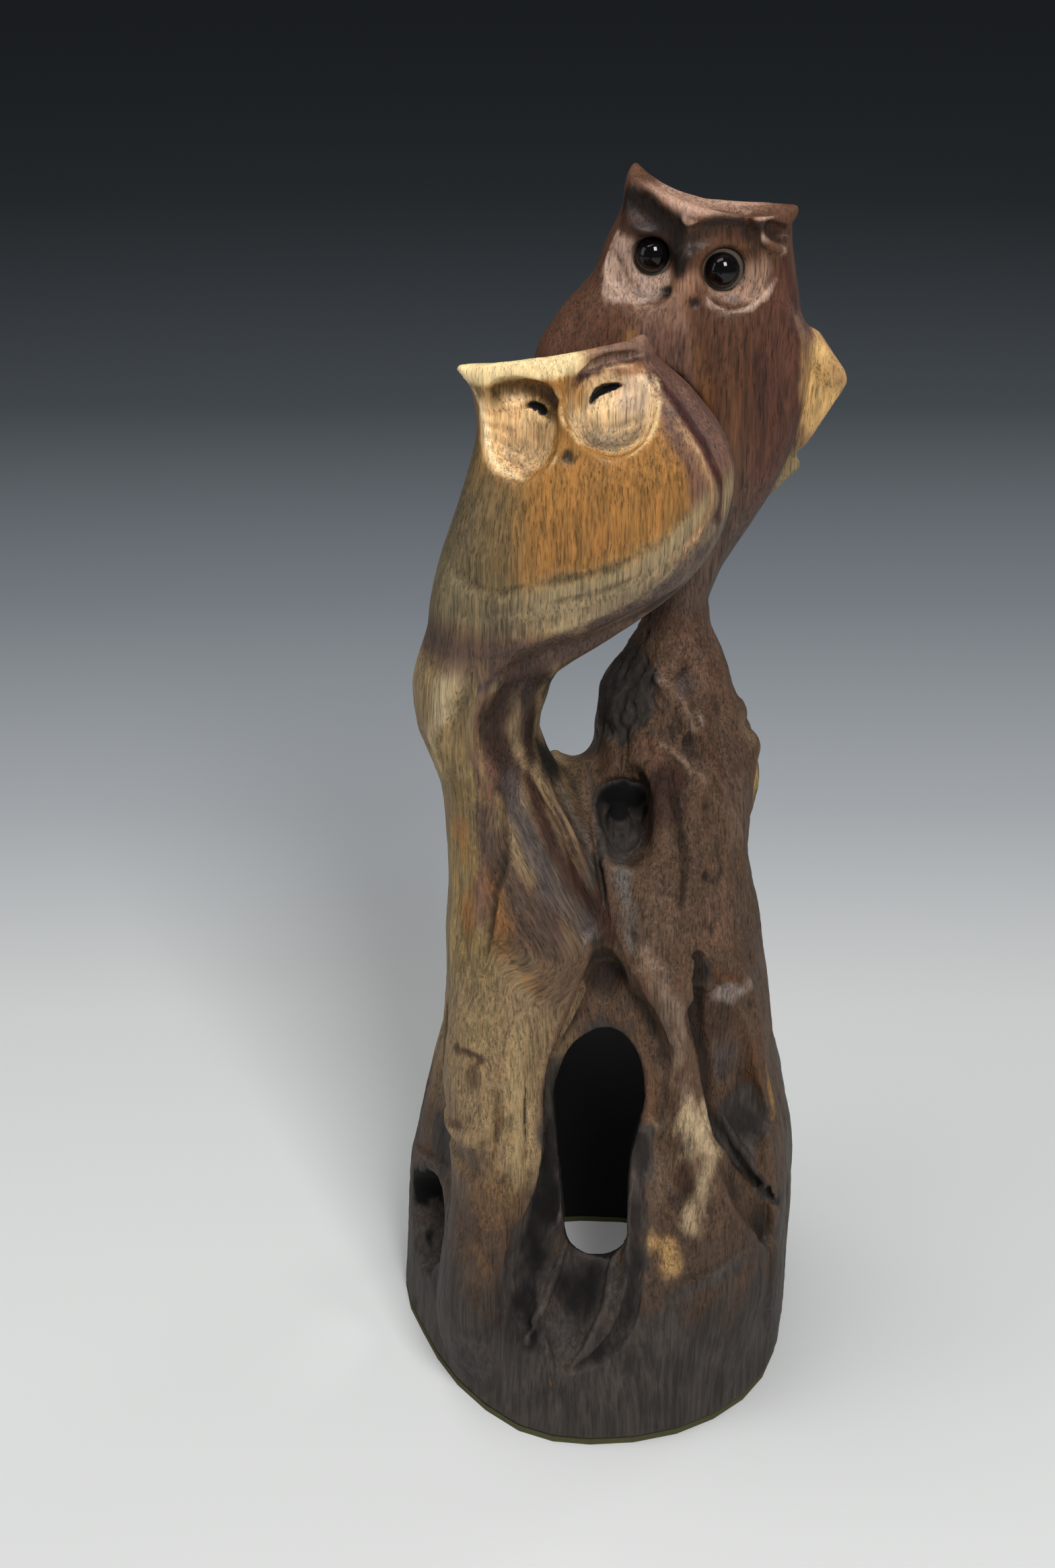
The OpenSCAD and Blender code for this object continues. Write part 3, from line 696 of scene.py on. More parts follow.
def apply_modifier(piece, kind, **settings):
    modifier = piece.modifiers.new(kind.lower(), kind)
    for name, value in settings.items():
        setattr(modifier, name, value)
    depsgraph = bpy.context.evaluated_depsgraph_get()
    old = piece.data
    piece.data = bpy.data.meshes.new_from_object(piece.evaluated_get(depsgraph), depsgraph=depsgraph)
    piece.modifiers.clear()
    piece.data.name = old.name
    bpy.data.meshes.remove(old)


# ---------------------------------------------------------------- stain: colour, wear and painted shade of the surface

def tone(code):
    """Colour from a hexadecimal code."""
    return np.array([int(code[i:i + 2], 16) / 255 for i in (0, 2, 4)])


def linear(colours):
    """Colours as the renderer keeps them, from colours as a screen shows them."""
    return np.where(colours <= 0.04045, colours / 12.92, ((colours + 0.055) / 1.055) ** 2.4)


GOLD = "a0713a"
PALE_GOLD = "dcb678"
CREAM = "f6e0b4"
BUFF = "9e8863"
MAUVE = "6f4f42"
PLUM = "3d1c17"
WALNUT = "5a3b29"
ORANGE = "a8662c"
TAN = "8c7556"
OLIVE = "8c7650"
GREY_BROWN = "5a4535"
PINK_BROWN = "745746"
UMBER = "2a1c14"
ASH_AND_PAINTED_LIGHT = "55504a"


class Stain:
    """Colour, scorching and painted shade of the surface at each of its points, laid on in washes, lines and
    patches.
    """

    STEP = 2.0  # distance between the places of a line
    WORN = 0.8  # share of the scorching that is gone from a worn crest

    def __init__(self, places, ground):
        self.places = places
        self.colour = np.tile(tone(ground), (len(places), 1))
        self.scorch = np.zeros(len(places))
        self.wander = layered_noise(places, (3.5, 3.5, 7), 51, 3)  # makes every edge uneven

    def wash(self, share, colour, near=slice(None)):
        """Moves the colour of the near points towards the given one by a share."""
        self.colour[near] += (tone(colour) - self.colour[near]) * np.clip(share, 0, 1)[:, None]

    def darken(self, share, near=slice(None)):
        self.scorch[near] = np.maximum(self.scorch[near], share)

    def near(self, low, high):
        return np.flatnonzero(np.all((self.places > low) & (self.places < high), axis=1))

    def line_share(self, points, width, edge, wander):
        """1 on the line and 0 beyond the width from it, for the points that are near it."""
        path = curve_through(np.asarray(points, float), self.STEP)
        near = self.near(path.min(0) - 2 * width, path.max(0) + 2 * width)
        nearest = np.full(len(near), np.inf)
        places = self.places[near]
        for start, end in pairwise(path):
            nearest = np.minimum(nearest, ball_chain(places.T, start, end, 0, 0))
        nearest += wander * width * self.wander[near]
        return near, ramp(nearest, width, width * (1 - edge))

    def patch_share(self, middle, sizes, edge, wander):
        """1 at the middle and 0 beyond the half sizes, for the points that are near it."""
        sizes = np.asarray(sizes, float)
        near = self.near(middle - 1.5 * sizes, middle + 1.5 * sizes)
        away = np.linalg.norm((self.places[near] - middle) / sizes, axis=1) + wander * self.wander[near]
        return near, ramp(away, 1, 1 - edge)

    def line(self, points, width, colour, strength=1.0, edge=0.8, wander=0.25):
        near, share = self.line_share(points, width / 2, edge, wander)
        self.wash(share * strength, colour, near)

    def patch(self, middle, sizes, colour, strength=1.0, edge=0.6, wander=0.15):
        near, share = self.patch_share(middle, sizes, edge, wander)
        self.wash(share * strength, colour, near)

    def burn(self, middle, sizes, strength=1.0, edge=0.6, wander=0.2):
        near, share = self.patch_share(middle, sizes, edge, wander)
        self.darken(share * strength, near)

    def burn_line(self, points, width, strength=1.0, edge=0.8, wander=0.25):
        near, share = self.line_share(points, width / 2, edge, wander)
        self.darken(share * strength, near)

    def burnt_off(self, points, width, colour):
        """A crest along the points where the char has worn off and brown wood shows."""
        near, share = self.line_share(points, width / 2, 1, 0.5)
        self.wash(share, colour, near)
        self.scorch[near] *= 1 - self.WORN * share


def on_sleeping_owl(places):
    """1 on the sleeping owl and 0 behind the line where the two bodies meet."""
    x, y, z = places.T
    meeting = np.interp(x, [-39, 13, 22], [-2.5, 10.5, 3])
    return ramp(z, 204, 212) * ramp(y - meeting, 2.5, 0)


def stain_ground(stain):
    """The broad colours: tan and olive left trunk, a darker scorched foot, and ash grey with painted light on
    the right of the foot.
    """
    x, y, z = stain.places.T
    wander = stain.wander
    stain.wash(ramp(x + 3 * wander, -2, -12) * ramp(z, 60, 80), TAN)
    stain.wash(ramp(x + 2 * wander, -20, -27) * ramp(z, 112, 128), OLIVE)
    stain.wash(0.8 * ramp(z + 8 * wander, 76, 45), "4a3a2e")
    # paler ash grey on the right of the foot, partly painted light falling from the right
    stain.wash(0.9 * ramp(x + y / 3 + 3 * wander, 36, 46) * ramp(z, 100, 80), ASH_AND_PAINTED_LIGHT)


def stain_left_limb(stain):
    stain.patch((-32, -10, 195), (16, 18, 24), "9e8862", 0.9)
    stain.patch((-33, -12, 209), (14, 14, 11), "8a7350", 0.9, wander=0.5)
    stain.line([(-40, -10, 205), (-43, -8, 192), (-42, -9, 182)], 9, "a3885f", 0.8, wander=0.6)
    stain.line(LIMB_CREST, 6, "b7a481", 0.8, edge=1, wander=0.5)
    stain.line([(-29, -21, 201), (-31, -20.5, 192), (-33, -20, 184), (-32, -20, 172), (-31, -20, 160)], 3.5,
               "7d6a50", 0.8)
    stain.line([(-26, -21, 197), (-28, -21, 190), (-29, -20.5, 182), (-28, -21, 172)], 4, "6a5040", 0.9)
    stain.line([(-18, -21, 202), (-22, -20, 192), (-24, -19, 184), (-23, -20, 174)], 10, "3c2a20", 1,
               edge=0.4)
    # painted shade: the left limb's inner face darkens to near-black towards the gap between the limbs
    stain.line([(-15, -19, 200), (-17, -17, 192), (-17, -14, 184), (-16, -14, 176)], 8, "2e211a", 0.95)
    stain.line([(-12, -14, 196), (-12, -10, 186), (-13, -10, 176), (-10, -8, 170)], 8, "1d1713", 0.95)
    stain.line([(-39, -14, 176), (-38, -15, 165), (-37, -17, 150), (-37, -17, 132), (-37, -18, 120)], 8,
               "a08a5c", 0.8)
    stain.line([(-33, -19, 170), (-32, -20, 155), (-32, -21, 140), (-33, -22, 126)], 7, "86693a", 0.8,
               wander=0.6)
    stain.patch((-33, -21, 140), (5, 6, 8), ORANGE, 0.5)
    stain.patch((-33, -18, 160), (4, 6, 6), ORANGE, 0.35)
    stain.line([(-41, -4, 128), (-41, -4, 112), (-40, -6, 98)], 7, PALE_GOLD, 0.6)


def stain_middle(stain):
    stain.line([(-27, -20, 180), (-26, -21, 170), (-26, -22, 160), (-26, -23, 150), (-29, -24, 140)], 7,
               "6d4f40", 0.9, wander=0.5)
    stain.patch((-17, -26, 140), (12, 10, 14), "553f33", 0.9)
    stain.line([(-24, -23, 152), (-24, -25, 140), (-21, -26, 130), (-16, -28, 124)], 7, "8c6136", 0.7,
               edge=1, wander=0.6)
    stain.line([(-22, -20, 178), (-22.5, -21, 170), (-23, -23, 158), (-26, -24, 146), (-28, -26, 128)], 2.4,
               UMBER, 0.9)
    stain.line(moved(RIBBON, x=-6, z=-6), 9, "58463a", 0.9)
    stain.line(RIBBON, 8.5, "564c48", 1, edge=0.9, wander=0.4)
    stain.line(moved(RIBBON[1:], x=-1.5, z=-1), 2, "6e625a", 0.8, wander=0.5)
    stain.line(moved(RIBBON, x=4, y=3, z=1), 6, "38231a", 0.95)
    stain.line(moved(RIBBON, x=6.5, y=5, z=3), 3, "5a4638", 0.7)
    stain.line([(-11, -10, 170), (-8, -12, 163), (-5, -15, 156), (-3, -19, 148)], 7, "4a443f", 0.9)
    # painted shade: near-black low on the left limb's inner face, at the foot of the gap between the limbs
    stain.patch((-12, -8, 172), (7, 10, 8), "26231f", 0.95)
    stain.line([(-1, -21, 146), (0, -23, 139), (1, -24, 133)], 4, "4a2a20", 0.8)
    # painted sheen: a grey strip down the channel below the knot hole
    stain.line([(4, -19, 150), (4.5, -22, 146), (6, -24, 139), (6, -25, 133)], 6.5, "6a6662", 0.85, edge=0.9)
    stain.patch((-12, -27, 126), (7, 6, 12), "5f4a38", 0.7)
    stain.burn_line([(-4, -1, 168), (-2.5, -7, 162), (-1.5, -13, 156), (-1, -18, 149)], 2.6, 0.8)


def stain_right_limb(stain):
    stain.patch((20, 4, 190), (11, 14, 16), PINK_BROWN, 0.8, wander=0.4)
    stain.line([(19, 7, 205), (21, 6, 198), (26, 4, 190), (30, 2, 180), (32, 0, 168)], 8, "573f31", 0.8,
               wander=0.5)
    stain.patch((17, 8, 205), (8, 8, 12), "553728", 0.85)
    stain.line(KNOT_RIDGE, 3, "8f7664", 0.8, wander=0.4)
    stain.patch((18, -2, 188), (3.5, 6, 4), "5b4d46", 0.9)
    stain.line([(19, -4, 186), (22, -5, 180)], 2.6, "a08f86", 0.8)
    stain.line([(24, -1, 184), (23, -5, 179), (25, -8, 171), (28, -9, 163)], 6, "533a2b", 0.85, wander=0.6)
    stain.burn((5, 4, 184), (9, 14, 15), 1.3, edge=0.35)
    stain.patch((10, -8, 175), (6, 8, 3.5), "70503f", 0.9)
    stain.line([(13, -8, 176), (18, -10, 173), (23, -11, 168)], 3, "8a715f", 0.85, wander=0.4)
    stain.patch((14, -11, 169), (5, 8, 5), "40261a", 0.9)
    stain.patch((12, -12, 163), (9, 8, 9), "33211a", 0.85)
    stain.burn((4, -8, 161), (9, 12, 6), 1.9, edge=0.5)
    stain.burn((3, -8, 154), (8.5, 12, 11), 1.3, edge=0.4)
    stain.burn_line([(-1, -9, 154), (0, -16, 150), (5, -18.5, 148.5), (11, -18, 151)], 2.6, 1.0)
    stain.line(KNOT_CREASE, 2.6, UMBER, 0.8)
    stain.patch((26, -18, 146), (4.5, 5, 3), "2c211a", 0.7, wander=0.5)
    stain.patch((27, -16, 138), (8, 9, 12), PINK_BROWN, 0.6, wander=0.5)
    stain.patch((31, -10, 160), (5, 9, 16), "6b5546", 0.7, wander=0.5)
    stain.patch((12, -22, 140), (7, 8, 10), "6a5444", 0.6, wander=0.5)
    stain.patch((35, 12, 158), (8, 12, 17), "b29152", 0.9)
    stain.patch((34, 2, 176), (4, 6, 6), BUFF, 0.5)


def stain_sleeping_owl(stain):
    x, y, z = stain.places.T
    owl = on_sleeping_owl(stain.places)
    wander = stain.wander
    stain.wash(owl, GOLD)
    stain.wash(owl * ramp(x + 2 * wander, -24, -33), "6e5d40")
    edge_of_gold = np.interp(z, [229, 236, 244, 252, 260, 266], [16.5, 17.5, 15.5, 11.5, 8.5, 5])
    stain.wash(owl * ramp(x + 0.5 * wander, edge_of_gold - 2.5, edge_of_gold + 0.5), MAUVE)
    foot_of_gold = np.interp(x, [-36, -25, -16, -7, 2, 10, 15, 20], [223, 220, 222, 224, 227, 232, 237, 243])
    stain.wash(owl * ramp(z + 0.8 * wander, foot_of_gold + 2, foot_of_gold - 4), "998563")
    stain.wash(0.8 * owl * ramp(z + 0.8 * wander, foot_of_gold - 4, foot_of_gold - 14) * ramp(x, -12, 6),
               "756250")
    stain.wash(owl * 0.7 * ramp(z + wander, 247, 238) * ramp(x, -14, -24), "6d6147")
    pale_line = [(9, -15, 260), (12, -17, 254), (16, -19, 249), (19, -19, 243), (20, -19, 238),
                 (17.5, -20, 231), (13, -22, 226)]
    plum = [(8, -14, 262), (12, -16, 257), (16, -17, 252), (20, -18, 245), (22.5, -17, 239), (22, -17, 233)]
    stain.line(pale_line, 4.4, "96714f", 0.9, wander=0.4)
    stain.line(pale_line, 1.8, "c79f78", 0.8, wander=0.5)
    stain.line(plum, 4.2, PLUM, 1, wander=0.35)
    stain.line(moved(plum, x=3.4, y=4, z=1), 4, "7c5b4c", 0.9)
    fold = [(-36, -11, 224), (-32, -17, 223), (-25, -22, 221), (-16, -23, 223), (-7, -24, 225), (2, -24, 228),
            (10, -22, 233), (15, -21, 238)]
    for drop, width, colour, strength in [(2, 2.6, "4e402c", 0.9), (4.5, 2.4, "93825f", 0.9),
                                          (6.5, 1.4, "594a38", 0.9), (8.5, 2.4, "a08e6c", 0.9),
                                          (11, 1.4, "6a5a46", 0.8), (13, 2.6, "ab9a75", 0.8),
                                          (16, 4, "7c6b54", 0.8)]:
        stain.line(moved(fold[1:], z=-drop), width, colour, 0.8 * strength, edge=1, wander=0.5)
    under = [(-26, -21, 197), (-21, -22, 201), (-15, -22, 205), (-8, -22, 208), (-2, -22, 211), (4, -20, 214),
             (11, -19, 219), (18, -17, 227)]
    stain.line(under, 6, "594640", 0.95, wander=0.5)
    stain.line(moved(under, x=1, y=3, z=-3.5), 4, "3d2c25", 0.95)


def stain_sleeping_face(stain):
    stain.patch((-20.5, -17, 252), (9.5, 8, 10.5), "f0c68e", 1, edge=0.15, wander=0.05)
    stain.patch((-1, -17, 257), (9.8, 8, 10.5), "f3cf9c", 1, edge=0.15, wander=0.05)
    # painted shadow: dark olive under the overhanging left brow, across the top of the left eye disc
    stain.line([(-24, -14, 258.5), (-20, -14, 259.5), (-15, -15, 259), (-12.5, -16, 255)], 7.5, "4c391a", 1,
               edge=0.9)
    stain.patch((-14.5, -15, 251), (3.5, 4, 4), "9c7b52", 0.7)
    stain.patch((3.5, -14, 258), (5.5, 4, 6), "d8bca4", 0.7)
    stain.patch((-7, -17, 259), (4, 5, 6), "b07c40", 0.7)
    for k in range(4):  # wax left in the hair strokes
        stain.line([(-27.5 + k, -13, 255 - 3 * k), (-19, -16, 253 - 3 * k)], 1.2, "c4935c", 0.6, wander=0.4)
        stain.line([(-6 + k, -17, 251.5 + k), (0, -17, 249.5 + 1.4 * k),
                    (6.5 - 0.3 * k, -17, 251.5 + 1.8 * k)], 1.2, "c99a66", 0.6, wander=0.4)
    stain.line([(-8, -16, 261), (-2, -15, 262.5), (4, -14, 263.5)], 3.5, "7a4a34", 0.7)
    stain.line([(-7, -15, 262.3), (-2, -13.5, 264.6), (3, -12.5, 265.6), (6, -11, 265.6)], 3.8, "3a211a",
               0.9, edge=0.7)
    x, y, z = stain.places.T
    brow_line = np.interp(x, [-31, -12, 0, 6], [262, 265.2, 266.8, 268])
    top = on_sleeping_owl(stain.places) * ramp(z - brow_line, -3.4, -2)
    stain.wash(top * ramp(x + 2 * stain.wander, 0, -9), "ecd09a")
    stain.wash(top * ramp(x + 2 * stain.wander, -9, 0), "80604f")
    stain.line(SLEEPING_LEFT_RIM, 1.6, CREAM, 0.7, wander=0.5)
    stain.line(SLEEPING_NOSE_AND_RIM, 1.7, "f4d8a4", 0.8, wander=0.5)
    for slit in [[(-19.2, -11.6, 254.2), (-17, -11.4, 255.5), (-15, -12.2, 255.2), (-12.8, -13.4, 252.6)],
                 [(-5.2, -12.4, 255.2), (-4, -12.2, 257.2), (-2, -12.2, 258.6), (2.4, -12.2, 259.6)]]:
        stain.burn_line(slit, 2.1, 2.4, edge=0.4, wander=0)
    stain.patch((-9.5, -21, 247.5), (2.0, 3, 2.4), "40311f", 0.9)


def stain_waking_owl(stain):
    x, y, z = stain.places.T
    owl = ramp(z, 196, 206) * (1 - on_sleeping_owl(stain.places))
    wander = stain.wander
    stain.wash(owl, WALNUT)
    stain.wash(0.8 * owl * ramp(z + 3 * wander, 246, 222), "564840")
    stain.wash(0.7 * owl * ramp(x + 2 * wander, 28, 34) * ramp(z, 280, 270), "5a392f")
    stain.line([(31, 10, 264), (33, 10, 252), (33, 11, 240), (29, 11, 226)], 4, "54352a", 0.6, wander=0.6)
    for streak, width, colour in [([(7, 9, 262), (9, 8, 250), (11, 8, 236)], 4, "6d4a2e"),
                                  ([(1, 10, 264), (2, 9, 254), (4, 9, 244)], 4, "4a2a1b"),
                                  ([(18, 8, 262), (20, 8, 248), (20, 9, 232), (17, 11, 216)], 3.5, "7a522f")]:
        stain.line(streak, width, colour, 0.7, wander=0.8)
    stain.line([(25, 8, 262), (27, 8, 248), (26, 9, 234)], 3, "6f4a30", 0.6, wander=0.8)
    stain.patch((47, 20, 250), (12, 10, 20), "d8ae70", 1, edge=0.7, wander=0.3)
    stain.line([(38, 14, 268), (41, 16, 263), (41, 17, 254), (39, 16, 243), (35, 13, 232)], 4, "80604a",
               0.9, wander=0.6)
    stain.patch((41, 21, 230), (8, 8, 10), "8f7c58", 0.9)
    stain.patch((14, 30, 250), (26, 8, 30), "5f4636", 0.7)
    stain.line([(-12, 12, 262), (-14, 13, 254), (-14, 13, 244)], 3, "6f5a4c", 0.8, wander=0.5)


def stain_waking_face(stain):
    stain.patch((20, 16, 292), (20, 13, 5), "ac8873", 1, edge=0.4)
    stain.line([(10, 16, 292), (18, 15, 289.5), (28, 15, 289.5), (35, 15, 289)], 1.6, "6c4b3c", 0.7,
               wander=0.8)
    stain.line([(4, 15, 293.5), (7.5, 12, 290.5), (11, 11, 288.5), (15.5, 9.5, 287), (20, 9, 287),
                (25, 9, 287.5), (30, 10, 288), (35, 12, 288.5)], 2.4, "d2b09c", 0.9)
    stain.patch((5, 13, 277), (8.5, 7, 8.5), "a98d7c", 1, edge=0.2)
    stain.patch((26, 9, 276.8), (9.5, 7, 8), "9f7f6b", 1, edge=0.2)
    # painted shade above the right eye, under the brow
    stain.patch((26, 10, 281), (9, 7, 5), "5d3c26", 0.9)
    stain.patch((15, 10, 275), (4.5, 5, 5), "a47c64", 0.8)
    stain.line([(16.5, 10, 286), (16, 10, 282), (15.5, 10, 279)], 4, "6a4630", 0.8)
    # painted shadow under the brows: near-black from the left ear down to the left eye, and across the right
    # brow above the right eye
    stain.line([(3, 15, 291), (6, 12, 289.5), (9, 11, 287.5), (12, 10, 284), (13, 10, 279)], 9.5, "1a0f0a",
               1, edge=0.6)
    stain.line([(2, 14, 287), (6, 12, 284.5), (9.5, 11, 281.5)], 8, "2a1810", 0.95, edge=0.9)
    stain.line([(17, 10, 283.5), (21, 10, 285.5), (25, 10, 286), (29, 11, 284.5)], 7, "2f2018", 0.95,
               edge=0.7)
    stain.line([(17, 10, 281.5), (22, 9, 283), (26, 9, 283.5), (30, 11, 282)], 6, "35241a", 0.9, edge=0.9)
    stain.line([(31, 12, 286.5), (34, 13, 284.5), (36.5, 14.5, 283.5)], 4, "2b201a", 0.95)
    for rim in [WAKING_LEFT_RIM, WAKING_RIGHT_RIM[1:], WAKING_BROW_FOLD]:
        stain.line(rim, 2.2, "bfa28f", 0.85, wander=0.4)
    for k, hair in enumerate(WAKING_HAIRS):  # dark wax stays in them
        stain.line(hair, 1.0, ["5c4436", "5f4534"][k % 2], 0.6)
    stain.line([(37, 14, 279), (38, 15, 274), (39, 16, 268)], 4, "452720", 0.8)
    stain.patch((12.3, 12.5, 272.3), (2.2, 3, 1.8), "1e130d", 0.95)
    stain.patch((17.3, 10.5, 270.7), (2.2, 3, 1.8), "2a1c14", 0.9)


def stain_stump(stain):
    stain.line([(-20, -28, 112), (-20, -31, 100), (-20, -34, 86), (-21, -36, 74)], 7, "9f8861", 0.8,
               wander=0.6)
    stain.patch((-30, -27, 112), (8, 9, 12), "8d7854", 0.8, wander=0.5)
    stain.line([(-17, -29, 104), (-17, -31, 92), (-18, -34, 78)], 3, "b39a70", 0.6, edge=1, wander=0.8)
    stain.line([(-24, -28, 112), (-24, -31, 98), (-25, -35, 82)], 2.5, "5a4228", 0.7, wander=0.9)
    stain.line(SCAR, 2.6, "3f2e22", 0.7, wander=0.9)
    stain.patch((-30, -29, 101), (2, 4, 4.5), "4d3828", 0.6, edge=0.9, wander=0.5)
    stain.line([(-38, -22, 81), (-33, -30, 86), (-28, -34, 85)], 3, "4a3628", 0.8, edge=1, wander=0.5)
    stain.patch((-31, -33, 76), (6, 7, 9), "5a4636", 0.85, wander=0.4)
    stain.patch((-24, -36, 68), (6, 7, 12), "6b5138", 0.8, wander=0.5)
    stain.patch((-29, -36, 50), (5, 7, 9), "7c5a3a", 0.6, wander=0.5)
    stain.line(HOLLOW_LEFT_LIP[1:6], 3.4, "5e4534", 0.9)
    stain.patch((0.5, -22, 122), (5, 5, 10), "4c463f", 0.95)
    stain.line([(0, -25, 140), (4, -25.5, 133), (9, -26, 122), (13, -26, 110)], 4, "573f31", 0.8, wander=0.5)
    stain.line([(9, -25, 132), (15, -26, 118), (18, -28, 104)], 7, "8a7462", 0.8, edge=1, wander=0.6)
    stain.line([(10, -24, 103), (12, -25, 94), (11.5, -27, 85), (10, -30, 76)], 3, "6a4a35", 0.8, wander=0.4)
    stain.patch((15, -27, 106), (6, 7, 11), "7a6454", 0.9, edge=1, wander=0.4)
    stain.patch((18, -29, 95), (7, 8, 14), "947b66", 1, edge=0.9, wander=0.5)
    stain.patch((15, -33, 72), (6, 8, 16), "75604e", 0.85, edge=0.9, wander=0.4)
    stain.patch((21.5, -31, 86), (10, 8, 13), "b9a280", 1, edge=0.9, wander=0.6)
    stain.line([(26, -34, 82), (25, -35, 76), (22, -36, 70), (21, -37, 62)], 10, "ae9878", 0.95, edge=1,
               wander=0.5)
    stain.patch((19.5, -35, 73), (4, 6, 8), "3f2b1f", 0.9, wander=0.3)
    stain.line([(10.5, -38, 58), (14.5, -38, 56), (17, -39, 50)], 10, "bd955f", 1, edge=1, wander=0.6)
    stain.burn_line(moved(FLANK_WALL[1:], x=2.8, y=1.8), 6, 1.4)
    stain.patch((27, -24, 113), (9, 9, 14), "4b382c", 0.95)
    stain.patch((30, -25, 100), (7, 9, 10), "544843", 0.9)
    stain.patch((31, -23, 118), (6.5, 7, 4.5), "998a82", 0.9, wander=0.3)
    stain.line([(23, -22, 126), (27, -23, 124), (32, -20, 121)], 3, "5c3a22", 0.9)
    stain.patch((37, -22, 98), (6, 8, 14), "5a3e28", 0.9)
    stain.line([(40, -20, 104), (41, -20, 92), (41, -21, 82)], 3.5, "b08246", 0.9, wander=0.5)
    stain.burn((34.5, -24, 82), (10, 10, 14), 1.5, edge=0.7)
    stain.line(FLANK_LEAF, 2.0, "7c5638", 1, wander=0.4)


def stain_fire(stain, out):
    """How far the fire went: up to 1 is dark and dull, towards 2 is black soot."""
    x, y, z = stain.places.T
    wander = stain.wander
    stain.darken((0.78 + 0.2 * ramp(y, 10, -10)) * ramp(z + 12 * wander, 66, 26))
    inward = -(out[:, 0] * (x - 2) + out[:, 1] * y) / np.maximum(np.hypot(x - 2, y), 1)
    inside = ramp(inward, -0.1, 0.25) * ramp(np.hypot(x / 1.1, y), 41, 35) * ramp(z, 118, 108)
    stain.darken(2 * inside)
    left = [(-10, -26, 96), (-11.5, -28, 84), (-12, -31, 72), (-14, -34, 62), (-16, -36, 54), (-18, -38, 45),
            (-18.5, -40, 37), (-16, -43, 29)]
    right = [(9.5, -31, 82), *SILL_GROOVE]
    stain.burn_line(moved(left, x=0.5, y=2), 20, 1.75, edge=1, wander=0.2)
    stain.burn_line(moved(left[3:], x=-5), 10, 1.1, edge=1)
    stain.burn_line(moved(right, y=1.5), 11, 1.5, edge=1, wander=0.3)
    stain.burn_line(moved(right[:5], x=4, y=1), 5, 0.5, edge=1)
    stain.burn((-4, -37, 43), (14, 13, 22), 1.7, edge=0.8, wander=0.1)
    stain.burn((-41, -8, 66), (9, 14, 22), 1.2, edge=0.9)
    stain.burn((-42, -6, 36), (10, 16, 19), 2.0, edge=0.5)
    stain.burn((-43, 0, 40), (8, 14, 14), 2.0, edge=0.4)
    stain.burn((0, -23, 108), (11, 6, 6), 1.2, edge=0.9)
    stain.burn_line([(18, -40, 42), (27, -39, 46), (35, -36, 51), (41, -27, 47)], 10, 0.95, edge=1)
    # less char on the right of the foot, partly painted light falling from the right
    stain.scorch *= 1 - 0.45 * ramp(x + y / 3, 36, 46)
    for ridge in [*SILL_RIDGES, [(2.5, -38, 44), (2, -41, 38), (-2, -44, 31), (-8, -45.5, 23)]]:
        stain.burnt_off(ridge, 1.8, "58402f")


def stain_carving(mesh):
    places = point_values(mesh.vertices, "co") / MM / STRETCH
    out = point_values(mesh.vertex_normals, "vector")
    stain = Stain(places, GREY_BROWN)
    for step in [stain_ground, stain_left_limb, stain_middle, stain_right_limb, stain_sleeping_owl,
                 stain_sleeping_face, stain_waking_owl, stain_waking_face, stain_stump]:
        step(stain)
    stain_fire(stain, out)
    return stain


def store(mesh, name, kind, values):
    field = mesh.attributes.new(name, kind, "POINT")
    key = {"FLOAT": "value", "FLOAT_VECTOR": "vector", "FLOAT_COLOR": "color"}[kind]
    field.data.foreach_set(key, np.asarray(values, np.float32).ravel())


def grain_places(places):
    """Places with the grain straightened, so that noise stretched along z follows the wood."""
    x, y, z = places.T
    slant = ramp(np.linalg.norm((places - [-12, -20, 150]) / [14, 14, 28], axis=1), 1.3, 0.8)
    sway = 1.6 * value_noise(places, (30, 30, 45), 61) + 0.5 * value_noise(places, (9, 9, 16), 62)
    return np.stack([x + 0.45 * (z - 150) * slant + sway, y + 0.7 * sway, z], axis=1)


def dress_carving(carving, block):
    """Stores what the wood's material reads at each point."""
    mesh = carving.data
    places = point_values(mesh.vertices, "co") / MM
    stain = stain_carving(mesh)
    nominal = places / STRETCH
    crest = 0.5 + CREST_GAIN * block.smoothed(CREST_BLUR).depth_at(places)  # less than a half in grooves
    colour = np.concatenate([linear(stain.colour), np.ones((len(places), 1))], axis=1)
    store(mesh, "stain", "FLOAT_COLOR", colour)
    store(mesh, "scorch", "FLOAT", stain.scorch)
    store(mesh, "crest", "FLOAT", np.clip(crest, 0, 1))
    store(mesh, "rasp", "FLOAT", rasp_amount(nominal))
    store(mesh, "grain", "FLOAT_VECTOR", grain_places(nominal))


# ---------------------------------------------------------------- materials

class Wire:
    """A socket that gives a value, so that shader maths can be written as Python expressions."""

    def __init__(self, finish, socket):
        self.finish = finish
        self.socket = socket

    def maths(self, operation, first, second):
        return self.finish.node("ShaderNodeMath", {"operation": operation}, {0: first, 1: second})

    def __add__(self, other):
        return self.maths("ADD", self, other)

    def __radd__(self, other):
        return self.maths("ADD", other, self)

    def __sub__(self, other):
        return self.maths("SUBTRACT", self, other)

    def __rsub__(self, other):
        return self.maths("SUBTRACT", other, self)

    def __mul__(self, other):
        return self.maths("MULTIPLY", self, other)

    def __rmul__(self, other):
        return self.maths("MULTIPLY", other, self)


